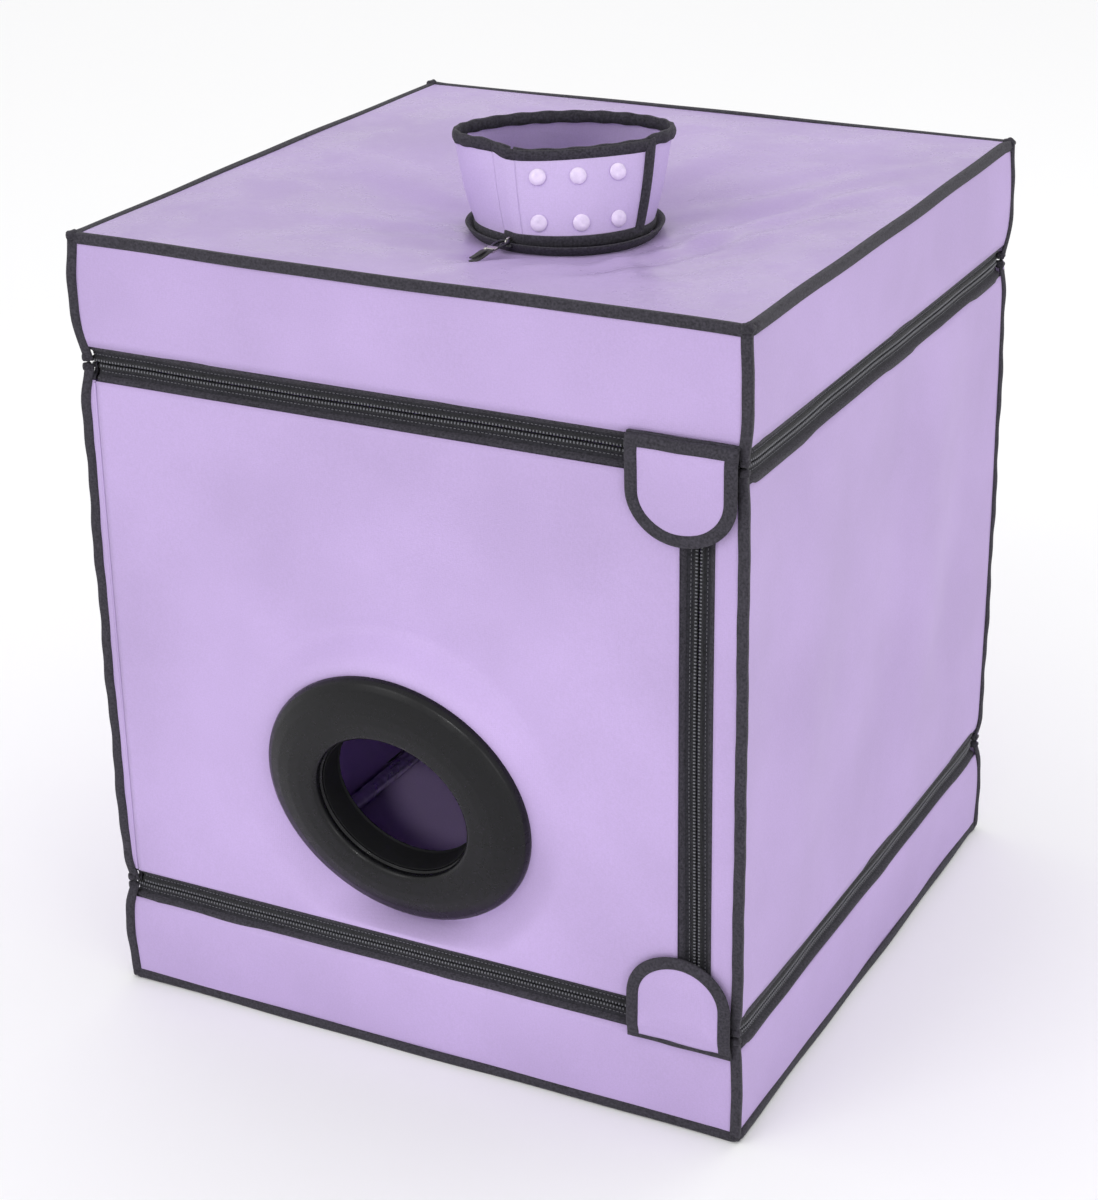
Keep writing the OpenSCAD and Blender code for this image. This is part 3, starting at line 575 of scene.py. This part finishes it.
def u_path(z, parts):
    """Points round the box at a zip line. parts: list of (side, s from, s to)."""
    pts, nor = [], []
    d0 = -1.6
    for side, a, b in parts:
        n = max(2, int(abs(b - a) / 6))
        s = np.linspace(a, b, n)
        wv = 0.5 * np.sin(s * 0.03 + side) + 0.3 * np.sin(s * 0.08)
        zz = z + 0.5 * np.sin(s * 0.022 + side * 2)
        zz = z + (zz - z) * np.clip((P - np.abs(s)) / 40, 0, 1)
        corner_in = -2.2 * np.clip((np.abs(s) - 205) / 19, 0, 1)
        pts.append(side_point(side, s, zz, d0 + wv * 0.6 + corner_in))
        nn = {0: [0, -1, 0], 1: [1, 0, 0], 2: [0, 1, 0], 3: [-1, 0, 0]}[side]
        nor.append(np.tile(nn, (n, 1)).astype(float))
    pts, nor = np.vstack(pts), np.vstack(nor)
    # round the corners
    for i in range(1, len(pts)):
        if np.dot(nor[i], nor[i - 1]) < 0.1:
            m = nor[i] + nor[i - 1]
            nor[i] = nor[i - 1] = m / np.linalg.norm(m)
    return pts, nor
K = 219
full = [(3, -K, K), (0, -K, K), (1, -K, K)]
for z, up, b1, b2, nm in ((ZU, 1, "lid", "shell", "upper"), (ZL, -1, "base", "shell", "lower")):
    p_, n_ = u_path(z, full)
    zip_half("zip_" + nm + "_" + b1, p_, n_, [0, 0, up], b1)
    p_, n_ = u_path(z, [(3, -K, K), (0, -K, HX - 1)])
    zip_half("zip_" + nm + "_wall_left", p_, n_, [0, 0, -up], b2)
    p_, n_ = u_path(z, [(0, VX + 1.5, K), (1, -K, K)])
    zip_half("zip_" + nm + "_wall_right", p_, n_, [0, 0, -up], b2)
    p_, n_ = u_path(z, [(0, HX + 1.5, VX - 1.5)])
    zip_half("zip_" + nm + "_door", p_, n_, [0, 0, -up], "door")
# the vertical zip
zz = np.linspace(ZL + 6, ZU - 6, 80)
wv = 0.5 * np.sin(zz * 0.03)
for nm, up, body in (("strip", [1, 0, 0], "shell"), ("door", [-1, 0, 0], "door")):
    p_ = np.stack([VX + 0.7 * np.sin(zz * 0.013 + 1), -(P - 1.2 + wv * 0.5), zz], -1)
    zip_half("zip_vertical_" + nm, p_, np.tile([0, -1, 0], (80, 1)), up, body)

# ------------------------------------------------------------------ port
def revolve(name, prof, mat, body, n=160):
    prof = np.asarray(prof, float)
    a = np.linspace(0, 2 * np.pi, n, endpoint=False)
    G = np.stack([pw(prof[:, 0] * np.sin(t), prof[:, 0] * np.cos(t), prof[:, 1]) for t in a], 0)
    k = len(prof)
    faces = [(i * k + j, i * k + (j + 1) % k, ((i + 1) % n) * k + (j + 1) % k, ((i + 1) % n) * k + j) for i in range(n) for j in range(k)]
    o = mesh(name, G.reshape(-1, 3), faces, [mat], body)
    import bmesh
    bm = bmesh.new(); bm.from_mesh(o.data); bmesh.ops.recalc_face_normals(bm, faces=bm.faces); bm.to_mesh(o.data); bm.free()
    return o
def rounded(pts, rad=0.8, n=4):
    """Round each corner of a closed profile."""
    out = []
    pts = [np.array(p, float) for p in pts]
    for i, p in enumerate(pts):
        a, b = pts[i - 1], pts[(i + 1) % len(pts)]
        r = min(rad, np.linalg.norm(a - p) * 0.45, np.linalg.norm(b - p) * 0.45)
        u, v = (a - p) / np.linalg.norm(a - p) * r, (b - p) / np.linalg.norm(b - p) * r
        for k in range(n + 1):
            t = k / n
            out.append(p + u * (1 - t) ** 2 + v * t ** 2)
    return out
flange = revolve("port_flange_visual", rounded([(52.2, -18), (54.4, -18), (54.4, 4.5), (74, 4.5), (86, -1.2), (86, -5.0), (92.6, -5.0), (92.6, -1.6), (91.2, 1.6), (87.6, 4.4), (81, 7.0), (73, 8.6), (66, 9.0), (58, 8.7), (55.2, 8.4), (53.4, 7.0), (52.6, 4.6), (53.6, 3.6), (53.6, 2.2), (52.2, 1.4)], 1.0), M_port, "door")
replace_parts(flange, "port_flange")
liner = revolve("port_liner", rounded([(52.05, 0.6), (52.05, -17), (50.9, -18.4), (50.4, -17.6), (51.2, -16), (51.3, 0.6)], 0.4), M_rubber, "door")
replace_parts(liner, "port_seal")

# ------------------------------------------------------------------ corner covers
def tongue_outline(cx_, half, length, n=40):
    """Outline of the cover from one root corner round the tip to the other; root at 0, tip at -length."""
    pts = [(-half, 0)]
    r = half
    zc = -(length - 30)
    for i in range(n + 1):
        a = math.pi + math.pi * i / n
        ex = 1.0
        pts.append((half * math.cos(a), zc + 30 * math.sin(a)))
    pts.append((half, 0))
    return [(cx_ + x, z) for x, z in pts]
def cover(name, body, z_root, sgn, length, repl, band, rbody, rh):
    cx_, half = 185.7, 33.5
    nu, nv = 40, 34
    hc, lc, rc, zc = half - 1.3, length - 1.3, 28.7, -(length - 30)
    def fall(t):
        return -2.0 * (1 - float(smooth(t * 6)))
    G = np.zeros((nu + 1, nv + 1, 3))
    for j in range(nv + 1):
        t = j / nv
        zl = -lc * t
        hw = hc if zl > zc else hc * math.sqrt(max(0.0, 1 - ((zl - zc) / rc) ** 2))
        hw = max(hw, 0.6)
        for i in range(nu + 1):
            u = -1 + 2 * i / nu
            x = cx_ + hw * u
            ed = min(half - abs(x - cx_), -zl + 2) if zl > zc else half * (1 - math.hypot((x - cx_) / half, (zl - zc) / 30))
            bul = 1.8 * float(smooth((ed - 7) / 14)) + 0.2 * math.sin(u * 5 + t * 4)
            G[i, j] = [x, -(P + 4.9 + bul - 1.2 * t + fall(t)), z_root + sgn * zl]
    o = shell(name, G, 0.9, M_cloth, body, flip=(sgn < 0))
    ol = tongue_outline(cx_, half, length)
    dens = []
    for (a, b) in zip(ol[:-1], ol[1:]):
        m = max(1, int(math.dist(a, b) / 2.2))
        for q in range(m):
            dens.append((a[0] + (b[0] - a[0]) * q / m, a[1] + (b[1] - a[1]) * q / m))
    dens.append(ol[-1])
    A = np.array(dens)
    tan = np.gradient(A, axis=0)
    tan /= np.maximum(np.linalg.norm(tan, axis=1, keepdims=True), 1e-9)
    inn = np.stack([-tan[:, 1], tan[:, 0]], 1)
    if (inn[0, 0]) < 0:
        inn = -inn
    def dd(x, zl):
        t = min(1, max(0, -zl / length)); u = (x - cx_) / half
        return 5.2 + 0.2 * math.sin(u * 5 + t * 4) - 1.2 * t + fall(t)
    P3 = np.array([[x, -(P + dd(x, z)), z_root + sgn * z] for x, z in A])
    Bv = np.stack([inn[:, 0], np.zeros(len(A)), sgn * inn[:, 1]], 1)
    Nv = np.tile([0, -1.0, 0], (len(A), 1))
    pr = lambda w: [(0.5, -0.9), (1.2, 0.2), (1.4, w * 0.3), (1.3, w * 0.75), (1.1, w - 0.4), (0.5, w), (-1.0, w), (-1.3, w * 0.3), (-1.0, -0.6), (-0.2, -1.1)]
    b = sweep(name + "_binding", P3, Nv, Bv, pr(7.0), [M_bind], body)
    pieces = [b]
    xs = np.linspace(cx_ - half - 0.9, cx_ + half + 0.9, 24)
    def line(nm, y, z, N, B, prof, bd):
        pts = np.stack([xs, np.full(24, y) - 0.12 * np.sin(xs * 0.25), np.full(24, z) + 0.15 * np.sin(xs * 0.16)], 1)
        return sweep(nm, pts, np.tile(N, (24, 1)).astype(float), np.tile(B, (24, 1)).astype(float), prof, [M_bind], bd)
    if band:
        pieces.append(line(name + "_top_band", -(P + 3.6), z_root + sgn * 0.1, [0, -0.977, 0.213 * sgn], [0, -0.213, -0.977 * sgn], pr(band), body))
    root = line(name + "_root", -(P + (1.7 if sgn > 0 else 2.9)), z_root, [0, -1, 0], [0, 0, sgn], [(-3.2, -0.4), (0.6, -0.4), (0.9, 0.2), (0.8, rh - 0.4), (0.3, rh), (-3.2, rh)], rbody)
    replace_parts(o, repl)
    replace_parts(b, repl + "_binding")
    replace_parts(root, repl.replace("cover_", "cover_root_"))
    return o, pieces
cu, cub = cover("cover_upper_cloth", "upper_cover", ZU + 11.6, 1, 62, "cover_upper", 6.6, "lid", 1.9)
cl_, clb = cover("cover_lower_cloth", "lower_cover", ZL - 11.2, -1, 59, "cover_lower", 0, "base", 3.4)

# ------------------------------------------------------------------ collar
A0 = math.radians(27.5)
C0 = CZ + 4.5
def cpt(a, t, o):
    a, t, o = np.broadcast_arrays(np.asarray(a, float), np.asarray(t, float), np.asarray(o, float))
    e = np.radians(a) - A0
    rx_ = CR + 12.5 * t + o
    ry_ = CR - 20.5 * t + o
    bell = 1.5 * np.sin(np.pi * np.clip(t, 0, 1))
    x, y = (rx_ + bell) * np.cos(e), (ry_ + bell) * np.sin(e)
    return np.stack([CX + x * math.cos(A0) - y * math.sin(A0), CY + x * math.sin(A0) + y * math.cos(A0), C0 + CH * t], -1)
def rim_dz(a):
    """Height of the rim: lower over the flap, with an S-shaped step at its root."""
    a = (np.asarray(a, float) + 180) % 360 - 180
    s = smooth((a + 112) / 28) * (1 - smooth((a + 16) / 10))
    d = (a - 112 + 180) % 360 - 180
    return 3.2 - 5.4 * s * (a > -116) * (1 - 0.6 * smooth((a + 84) / 74)) + 1.8 * np.exp(-(d / 58.0) ** 2)
def collar_grid(aa, ab, n, t0, t1, nt, o, wr=0.5, seed=3):
    a = np.linspace(aa, ab, n)
    t = np.linspace(t0, t1, nt)
    A, T = np.meshgrid(a, t, indexing="ij")
    f = wob(seed, 6, 1, 3)
    oo = o + wr * np.sin(np.pi * T) * (np.sin(np.radians(A) * 7 + T * 2) + f(np.radians(A) * 1.5, T * 1.4))
    G = cpt(A, T, oo)
    G[..., 2] += rim_dz(A) * T
    return G
wall_c = shell("collar_wall_cloth", collar_grid(-90, 268, 180, 0.02, 0.97, 16, 0.2, 0.7, 81), 0.9, M_collar_painted_light, "collar")
flap_c = shell("collar_flap_cloth", collar_grid(-88.25, -14, 60, 0.05, 0.95, 16, 3.6, 0.15, 82), 0.9, M_collar_painted_light, "flap")
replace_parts(wall_c, "collar_wall")
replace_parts(flap_c, "collar_flap")

def collar_band(name, aa, ab, t, o, hw, th, body, gather=0.0, tilt=0.0, n=None, bulge=None, closed=False):
    n = n or max(12, int(abs(ab - aa) * 0.9))
    a = np.linspace(aa, ab, n, endpoint=not closed)
    c = cpt(a, t, o)
    c[:, 2] += rim_dz(a) * t
    if bulge is not None:
        c = c + bulge(a)[:, None] * (c - np.array([CX, CY, 0])) * np.array([1, 1, 0]) / CR
    N = c - cpt(a, t, o - 5)
    N[:, 2] = 0
    N = c - np.array([CX, CY, 0]); N[:, 2] = 0
    e = np.radians(a) - A0
    nx, ny = np.cos(e) / (CR + 12.5 * t), np.sin(e) / (CR - 20.5 * t)
    N = np.stack([nx * math.cos(A0) - ny * math.sin(A0), nx * math.sin(A0) + ny * math.cos(A0), np.zeros(n)], 1)
    N /= np.linalg.norm(N, axis=1, keepdims=True)
    B = np.tile([0, 0, 1.0], (n, 1))
    if tilt:
        B = B * math.cos(tilt) + N * math.sin(tilt)
        B /= np.linalg.norm(B, axis=1, keepdims=True)
    pr = [(-th, -hw), (-th * 0.2, -hw * 1.04), (th * 0.6, -hw * 0.96), (th, -hw * 0.5), (th * 1.1, 0), (th, hw * 0.5), (th * 0.6, hw * 0.96), (-th * 0.2, hw * 1.04), (-th, hw * 0.9), (-th * 1.1, 0)]
    def vary(i, q):
        if not gather:
            return q
        g = 1 + gather * math.sin(a[i] * 0.55 * 1.0) * 0.6 + gather * 0.5 * math.sin(a[i] * 0.23 + 1)
        return q * np.array([g * 1.0, 1 + 0.35 * gather * math.sin(a[i] * 0.41)])
    return sweep(name, c, N, B, pr, [M_bind], body, closed=closed, vary=vary)
rim = collar_band("collar_rim_cloth", -90, 268, 0.965, 0.2, 3.7, 1.6, "collar", gather=0.2, n=300)
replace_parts(rim, "collar_rim_elastic")
frim = collar_band("collar_flap_rim", -89.0, -12, 0.965, 3.9, 3.5, 1.15, "flap")
fbot = collar_band("collar_flap_foot", -88.6, -13, 0.07, 4.0, 3.6, 1.1, "flap")
# the wall swells out to the flap's root, so that the flap grows out of it without a step
ar = np.linspace(-103, -88.0, 16)
def ramp_o(lo, hi):
    return lo + (hi - lo) * smooth((ar + 103) / 12.0)
tr_ = np.linspace(0.05, 0.95, 16)
AR, TR = np.meshgrid(ar, tr_, indexing="ij")
GR = cpt(AR, TR, np.tile(ramp_o(0.9, 3.45)[:, None], (1, 16)))
GR[..., 2] += rim_dz(AR) * TR
root_c = shell("collar_flap_root_cloth", GR, 0.8, M_collar_painted_light, "collar")
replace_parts(root_c, "collar_flap_hinge")
rroot = collar_band("collar_flap_root_rim", -103, -88.5, 0.965, ramp_o(0.7, 3.9), 3.55, 1.15, "collar", n=16)
froot = collar_band("collar_flap_root_foot", -103, -88.5, 0.07, ramp_o(0.9, 4.0), 3.5, 1.1, "collar", n=16)
# vertical binding on the flap's free edge
t = np.linspace(0.03, 0.99, 30)
c = cpt(np.full(30, -14.5), t, np.full(30, 4.0)); c[:, 2] += rim_dz(np.full(30, -14.5)) * t
nrm = c - cpt(np.full(30, -14.5), t, np.full(30, 0.0)); nrm /= np.linalg.norm(nrm, axis=1, keepdims=True)
tg = np.gradient(c, axis=0); tg /= np.linalg.norm(tg, axis=1, keepdims=True)
bn = np.cross(tg, nrm)
fedge = sweep("collar_flap_edge", c, nrm, bn, [(-1, -3.6), (0.4, -3.7), (1, -3), (1.15, 0), (1, 3), (0.4, 3.7), (-1, 3.6)], [M_bind], "flap")
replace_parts(frim, "collar_flap_binding")
foot = collar_band("collar_foot_cloth", -90, 268, 0.03, 0.6, 3.2, 1.0, "collar", n=200)
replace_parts(foot, "collar_foot_binding")
# binding ring sewn to the lid, standing out at the front right
def bl(a):
    d = (a + 48 + 180) % 360 - 180
    return 4.0 * np.exp(-(d / 45) ** 2)
ring1 = collar_band("collar_base_cloth", 0, 360, -0.04, 3.2, 6.4, 1.6, "lid", tilt=0.68, n=220, bulge=bl, closed=True)
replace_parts(ring1, "collar_base_ring")

# snaps: domed caps, on the flap
def at_cap(a, t):
    p = cpt(a, t, 4.3); p = p + np.array([0, 0, float(rim_dz(a)) * t])
    u = cpt(a + 1, t, 4.3) - cpt(a - 1, t, 4.3)
    v = cpt(a, t + 0.05, 4.3) - cpt(a, t - 0.05, 4.3)
    n = np.cross(u, v); n /= np.linalg.norm(n)
    u = u / np.linalg.norm(u)
    v = np.cross(n, u)
    return p, u, v, n
caps_p, caps_f = [], []
prof = [(0, 1.9), (1.2, 1.85), (2.6, 1.6), (3.6, 1.25), (4.5, 0.75), (5.0, 0.35), (5.25, 0.05), (5.2, -0.4)]
SN = [(-77.5, 0.27), (-54, 0.27), (-32, 0.27), (-76.5, 0.755), (-56, 0.755), (-35, 0.755)]
for a, t in SN:
    p, u, v, n = at_cap(a, t)
    o = len(caps_p)
    m = 28
    for (r, h) in prof:
        for k in range(m):
            th = 2 * math.pi * k / m
            dent = -0.35 * math.exp(-(r / 1.1) ** 2)
            caps_p.append(p + u * r * math.cos(th) + v * r * math.sin(th) + n * (h + dent))
    for j in range(len(prof) - 1):
        for k in range(m):
            caps_f.append((o + j * m + k, o + (j + 1) * m + k, o + (j + 1) * m + (k + 1) % m, o + j * m + (k + 1) % m))
    caps_f.append([o + (len(prof) - 1) * m + k for k in range(m)][::-1])
caps = mesh("snap_caps_visual", caps_p, caps_f, [M_snap], "flap")
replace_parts(caps, "snap_caps")
def snap_discs(name, off, th, nub, body):
    pp, ff = [], []
    m = 28
    for a, t in SN:
        p, u, v, n = at_cap(a, t)
        p = p + n * (off - 4.3)
        o = len(pp)
        rings = [(0.01, 0), (4.5, 0), (4.6, th * 0.5), (4.5, th)] + ([(1.7, th), (1.7, nub)] if nub > th else []) + [(0.01, max(th, nub))]
        for r, h in rings:
            for k in range(m):
                g = 2 * math.pi * k / m
                pp.append(p + u * r * math.cos(g) + v * r * math.sin(g) + n * h)
        for j in range(len(rings) - 1):
            for k in range(m):
                ff.append((o + j * m + k, o + j * m + (k + 1) % m, o + (j + 1) * m + (k + 1) % m, o + (j + 1) * m + k))
        ff.append([o + k for k in range(m)][::-1])
        ff.append([o + (len(rings) - 1) * m + k for k in range(m)])
    return mesh(name, pp, ff, [M_snap], body)
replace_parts(snap_discs("snap_sockets_visual", 2.2, 0.6, 0, "flap"), "snap_sockets")
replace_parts(snap_discs("snap_studs_visual", 0.75, 0.5, 1.2, "collar"), "snap_studs")

# ------------------------------------------------------------------ collar zip slider and its pull
sa = math.radians(-97)
er, et_ = np.array([math.cos(sa), math.sin(sa), 0]), np.array([-math.sin(sa), math.cos(sa), 0])
ez_ = np.array([0, 0, 1.0])
c3 = np.array([CX, CY, CZ])
def lump(name, c, U, V, N, prof2, th, mat, body, dome=0.35):
    """A flat plate with rounded edges: outline prof2 [(u, v)], thickness th."""
    k = len(prof2)
    q = np.array(prof2, float); ctr = q.mean(0)
    pts = []
    for f, h in ((0.9, -th), (1.0, -th * 0.6), (1.0, th * 0.4), (0.88, th), (0.5, th + dome)):
        r = ctr + (q - ctr) * f
        pts += [c + U * a + V * b + N * h for a, b in r]
    faces = [(j * k + i, j * k + (i + 1) % k, (j + 1) * k + (i + 1) % k, (j + 1) * k + i) for j in range(4) for i in range(k)]
    faces += [tuple(range(k))[::-1], tuple(4 * k + i for i in range(k))]
    return mesh(name, pts, faces, [mat], body)
S0 = c3 + er * 61.5 + ez_ * 5.5
oval = lambda a, b, n=24: [(a * math.cos(2 * math.pi * i / n), b * math.sin(2 * math.pi * i / n)) for i in range(n)]
sl = lump("collar_slider_body", S0, er, et_, ez_, [(x * 1.0, y) for x, y in rounded([(-5.5, -3.8), (3.5, -4.6), (5.5, -3), (5.5, 3), (3.5, 4.6), (-5.5, 3.8)], 1.2)], 1.2, M_metal, "collar_zip_slider", 0.5)
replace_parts(sl, "collar_slider")
def loop_bar(name, pts, r, mat, body, closed=True):
    pts = np.array(pts, float)
    n = len(pts)
    tg = np.roll(pts, -1, 0) - np.roll(pts, 1, 0)
    if not closed:
        tg = np.gradient(pts, axis=0)
    tg /= np.linalg.norm(tg, axis=1, keepdims=True)
    ref = np.array([0.13, 0.21, 0.97])
    N = np.cross(tg, ref); N /= np.linalg.norm(N, axis=1, keepdims=True)
    B = np.cross(tg, N)
    return sweep(name, pts, N, B, [(r * math.cos(t), r * math.sin(t)) for t in np.linspace(0, 2 * math.pi, 10, endpoint=False)], [mat], body, closed=closed)
bridge = loop_bar("collar_slider_bridge", [S0 + er * x + ez_ * z for x, z in ((-3.2, 0.9), (-2.6, 3.0), (-0.8, 4.0), (1.5, 3.9), (3.2, 2.8), (3.8, 0.9))], 0.75, M_bright, "collar_zip_slider", closed=False)
# pull: metal oval frame, then a folded tail lying on the lid
pd = np.array([math.cos(math.radians(-93)), math.sin(math.radians(-93)), 0.0]); pd[2] = -0.04; pd /= np.linalg.norm(pd)
ps = np.cross([0, 0, 1.0], pd); ps /= np.linalg.norm(ps); pn = np.cross(pd, ps)
J = S0 + er * 2.5 + ez_ * 3.0
frame_pts = [J + pd * (8.5 - 8.5 * math.cos(t)) + ps * (3.9 * math.sin(t) * (0.85 + 0.15 * math.cos(t))) for t in np.linspace(0, 2 * math.pi, 36, endpoint=False)]
pl = loop_bar("collar_pull_frame", frame_pts, 0.95, M_metal, "collar_zip_pull")
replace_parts(pl, "collar_pull")
clamp = lump("collar_pull_clamp", J + pd * 18.5, pd, ps, pn, rounded([(-3.2, -3.6), (3.2, -3.6), (3.2, 3.6), (-3.2, 3.6)], 0.8), 1.3, M_bright, "collar_zip_pull", 0.2)
def tail(name, w0, w1, L, side, body):
    n = 22
    G = np.zeros((n, 5, 3))
    for i in range(n):
        q = i / (n - 1)
        hw = w0 + (w1 - w0) * q
        cc = J + pd * (20 + L * q) + ps * (side * 2.2 * q + 1.3 * math.sin(q * 4 + side)) + np.array([0, 0, 0.9 * math.sin(q * 5 + side)])
        x, y = cc[0], cc[1]
        zmin = float(top_z(np.array(x), np.array(y)) + top_fold(np.array(x), np.array(y))) + 1.6
        cc[2] = max(cc[2] + (0.4 if side > 0 else 1.2), zmin)
        for j in range(5):
            G[i, j] = cc + ps * hw * (j / 2 - 1)
    return shell(name, G, 0.8, M_leather, body)
tail("collar_pull_tail", 2.6, 2.1, 22, 1, "collar_zip_pull")
tail("collar_pull_tail_b", 2.2, 1.3, 18, -1, "collar_zip_pull")

# ------------------------------------------------------------------ replacing plain CAD cloth
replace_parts(sheets["wall_right_cloth"], "wall_right")
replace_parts(sheets["wall_left_cloth"], "wall_left")
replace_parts(sheets["wall_back_cloth"], "wall_back")
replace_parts(sheets["lid_band_front"], "lid_bands")
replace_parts(sheets["base_band_front"], "base_bands")
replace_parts(strip, "front_strip")
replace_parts(door_cloth, "door_panel", "port_skirt")
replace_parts(top_cloth, "lid_panel")
O = bpy.data.objects
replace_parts(O["lid_edge_binding_cloth"], "lid_edge_binding")
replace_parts(O["base_edge_binding_cloth"], "base_edge_binding")
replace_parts(O["lid_corner_lf"], "lid_corner_bindings")
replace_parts(O["wall_corner_lf"], "wall_corner_bindings")
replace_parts(O["base_corner_lf"], "base_corner_bindings")
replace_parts(O["zip_upper_lid"], "lid_zip_tape", "lid_zip_coil")
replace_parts(O["zip_lower_base"], "base_zip_tape", "base_zip_coil")
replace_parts(O["zip_upper_wall_right"], "wall_zip_tapes", "wall_zip_coils")
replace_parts(O["zip_upper_door"], "door_zip_tape", "door_zip_coil")

# CAD pieces that stay: give them real finishes
finish = {"frame_tube": M_alu, "connector_plastic": M_conn, "port_plastic": M_port, "snap_plastic": M_snap, "zip_metal": M_metal, "black_binding": M_bind, "lilac_fabric": M_cloth, "zip_tape": M_tape, "zip_coil": M_bead, "port_rubber": M_rubber}
slots = {s["node"]: s["material_slot"] for s in frame["record"]["subparts"]}
for n, o in frame["nodes"].items():
    m = finish.get(slots.get(n))
    if m is not None:
        o.data.materials.clear()
        o.data.materials.append(M_cloth if n == "door_hinge" else m)

# inner floor: a cloth in place of the plain plate
s, y = np.meshgrid(np.linspace(-P + 1, P - 1, 60), np.linspace(-P + 1, P - 1, 60), indexing="ij")
zf = 1.6 + 0.5 * wob(91)(s / W, y / W) * np.clip((P - np.maximum(abs(s), abs(y))) / 60, 0, 1)
floor_c = shell("base_floor_cloth", np.stack([s, y, zf], -1), 0.9, M_cloth, "base")
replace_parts(floor_c, "base_panel")

# ------------------------------------------------------------------ sheet sizes, holds and supports, listed (q does nothing with them)
def q(o, w, l, held, on, area=None, wp=()):
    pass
q(sheets["wall_right_cloth"], 0.448, 0.346, "stretched", ["frame_uprights"])
q(sheets["wall_left_cloth"], 0.448, 0.346, "stretched", ["frame_uprights"])
q(sheets["wall_back_cloth"], 0.448, 0.364, "stretched", ["frame_uprights"])
for nm in ("front", "right", "back", "left"):
    q(sheets["lid_band_" + nm], 0.448, 0.078 if nm == "back" else 0.069, "stretched", ["frame_rails_upper"])
    q(sheets["base_band_" + nm], 0.448, 0.071 if nm == "back" else 0.062, "stretched", ["frame_rails_lower"])
q(door_cloth, 0.397, 0.346, "stretched", ["port_flange_visual"], area=0.114)
q(top_cloth, 0.448, 0.448, "stretched", ["frame_rails_upper"], area=0.192)
q(strip, 0.0125, 0.346, "stretched", ["frame_uprights"])
q(strip_l, 0.0104, 0.346, "stretched", ["frame_uprights"])
q(floor_c, 0.446, 0.446, "laid", ["frame_rails_lower"])
q(cu, 0.067, 0.061, "hung", ["lid_band_front"], area=0.0038, wp=cub)
q(cl_, 0.067, 0.058, "stretched", ["base_band_front"], area=0.0036, wp=clb)
q(wall_c, 0.345, 0.054, "stretched", ["collar_base_cloth"], wp=[rim, foot, root_c, rroot, froot])
q(flap_c, 0.075, 0.051, "stretched", ["collar_wall_cloth"], wp=[frim, fbot, fedge, caps])

# ------------------------------------------------------------------ stage
bpy.ops.mesh.primitive_plane_add(size=14, location=(0, 0, -0.0006))
floor = bpy.context.object
floor.name = "floor"
fm, nt, b = new_mat("floor_mat")
b.inputs["Base Color"].default_value = (0.93, 0.93, 0.935, 1)
b.inputs["Roughness"].default_value = 0.9
b.inputs["Specular IOR Level"].default_value = 0.05
floor.data.materials.append(fm)

w = bpy.data.worlds.new("studio")
bpy.context.scene.world = w
w.use_nodes = True
bg = w.node_tree.nodes["Background"]
bg.inputs["Color"].default_value = (1, 1, 1, 1)
bg.inputs["Strength"].default_value = 1.01

def area(name, loc, target, size, power, color=(1, 1, 1)):
    l = bpy.data.lights.new(name, "AREA")
    l.shape = "RECTANGLE"
    l.size, l.size_y = size
    l.energy = power
    l.color = color
    o = bpy.data.objects.new(name, l)
    bpy.context.scene.collection.objects.link(o)
    o.location = loc
    d = Vector(target) - Vector(loc)
    o.rotation_euler = d.to_track_quat("-Z", "Y").to_euler()
    return o
area("key", (-0.9, -2.2, 2.0), (0, 0, 0.3), (1.4, 1.4), 12.5)
area("fill_right", (2.3, -1.9, 0.55), (0, 0, 0.22), (0.6, 1.0), 7)
area("back_top", (0.6, 1.6, 1.9), (0.05, 0, 0.5), (1.2, 0.8), 4)

sp = bpy.data.lights.new("port_spot", "SPOT")
sp.energy = 150
sp.spot_size = math.radians(4.2)
sp.spot_blend = 0.5
sp.shadow_soft_size = 0.14
so = bpy.data.objects.new("port_spot", sp)
bpy.context.scene.collection.objects.link(so)
so.location = (0.79, -1.89, 1.19)
so.rotation_euler = (Vector((-0.008, -0.23, 0.1846)) - so.location).to_track_quat("-Z", "Y").to_euler()

AZ, EL, ROLL = math.radians(27.4557), math.radians(23.6355), math.radians(-0.941)
C = Vector((0.75690, -1.48858, 0.96487))
back = Vector((math.sin(AZ) * math.cos(EL), -math.cos(AZ) * math.cos(EL), math.sin(EL)))
fwd = -back
right = fwd.cross(Vector((0, 0, 1))).normalized()
up = right.cross(fwd)
r2 = right * math.cos(ROLL) + up * math.sin(ROLL)
u2 = -right * math.sin(ROLL) + up * math.cos(ROLL)
cam = bpy.data.cameras.new("cam")
cam.sensor_width = 36
cam.lens = 79.91
cam.clip_start = 0.05
co = bpy.data.objects.new("cam", cam)
bpy.context.scene.collection.objects.link(co)
M = Matrix.Identity(4)
for i in range(3):
    M[i][0], M[i][1], M[i][2], M[i][3] = r2[i], u2[i], back[i], C[i]
co.matrix_world = M
bpy.context.scene.camera = co
bpy.context.scene.view_settings.view_transform = "Standard"
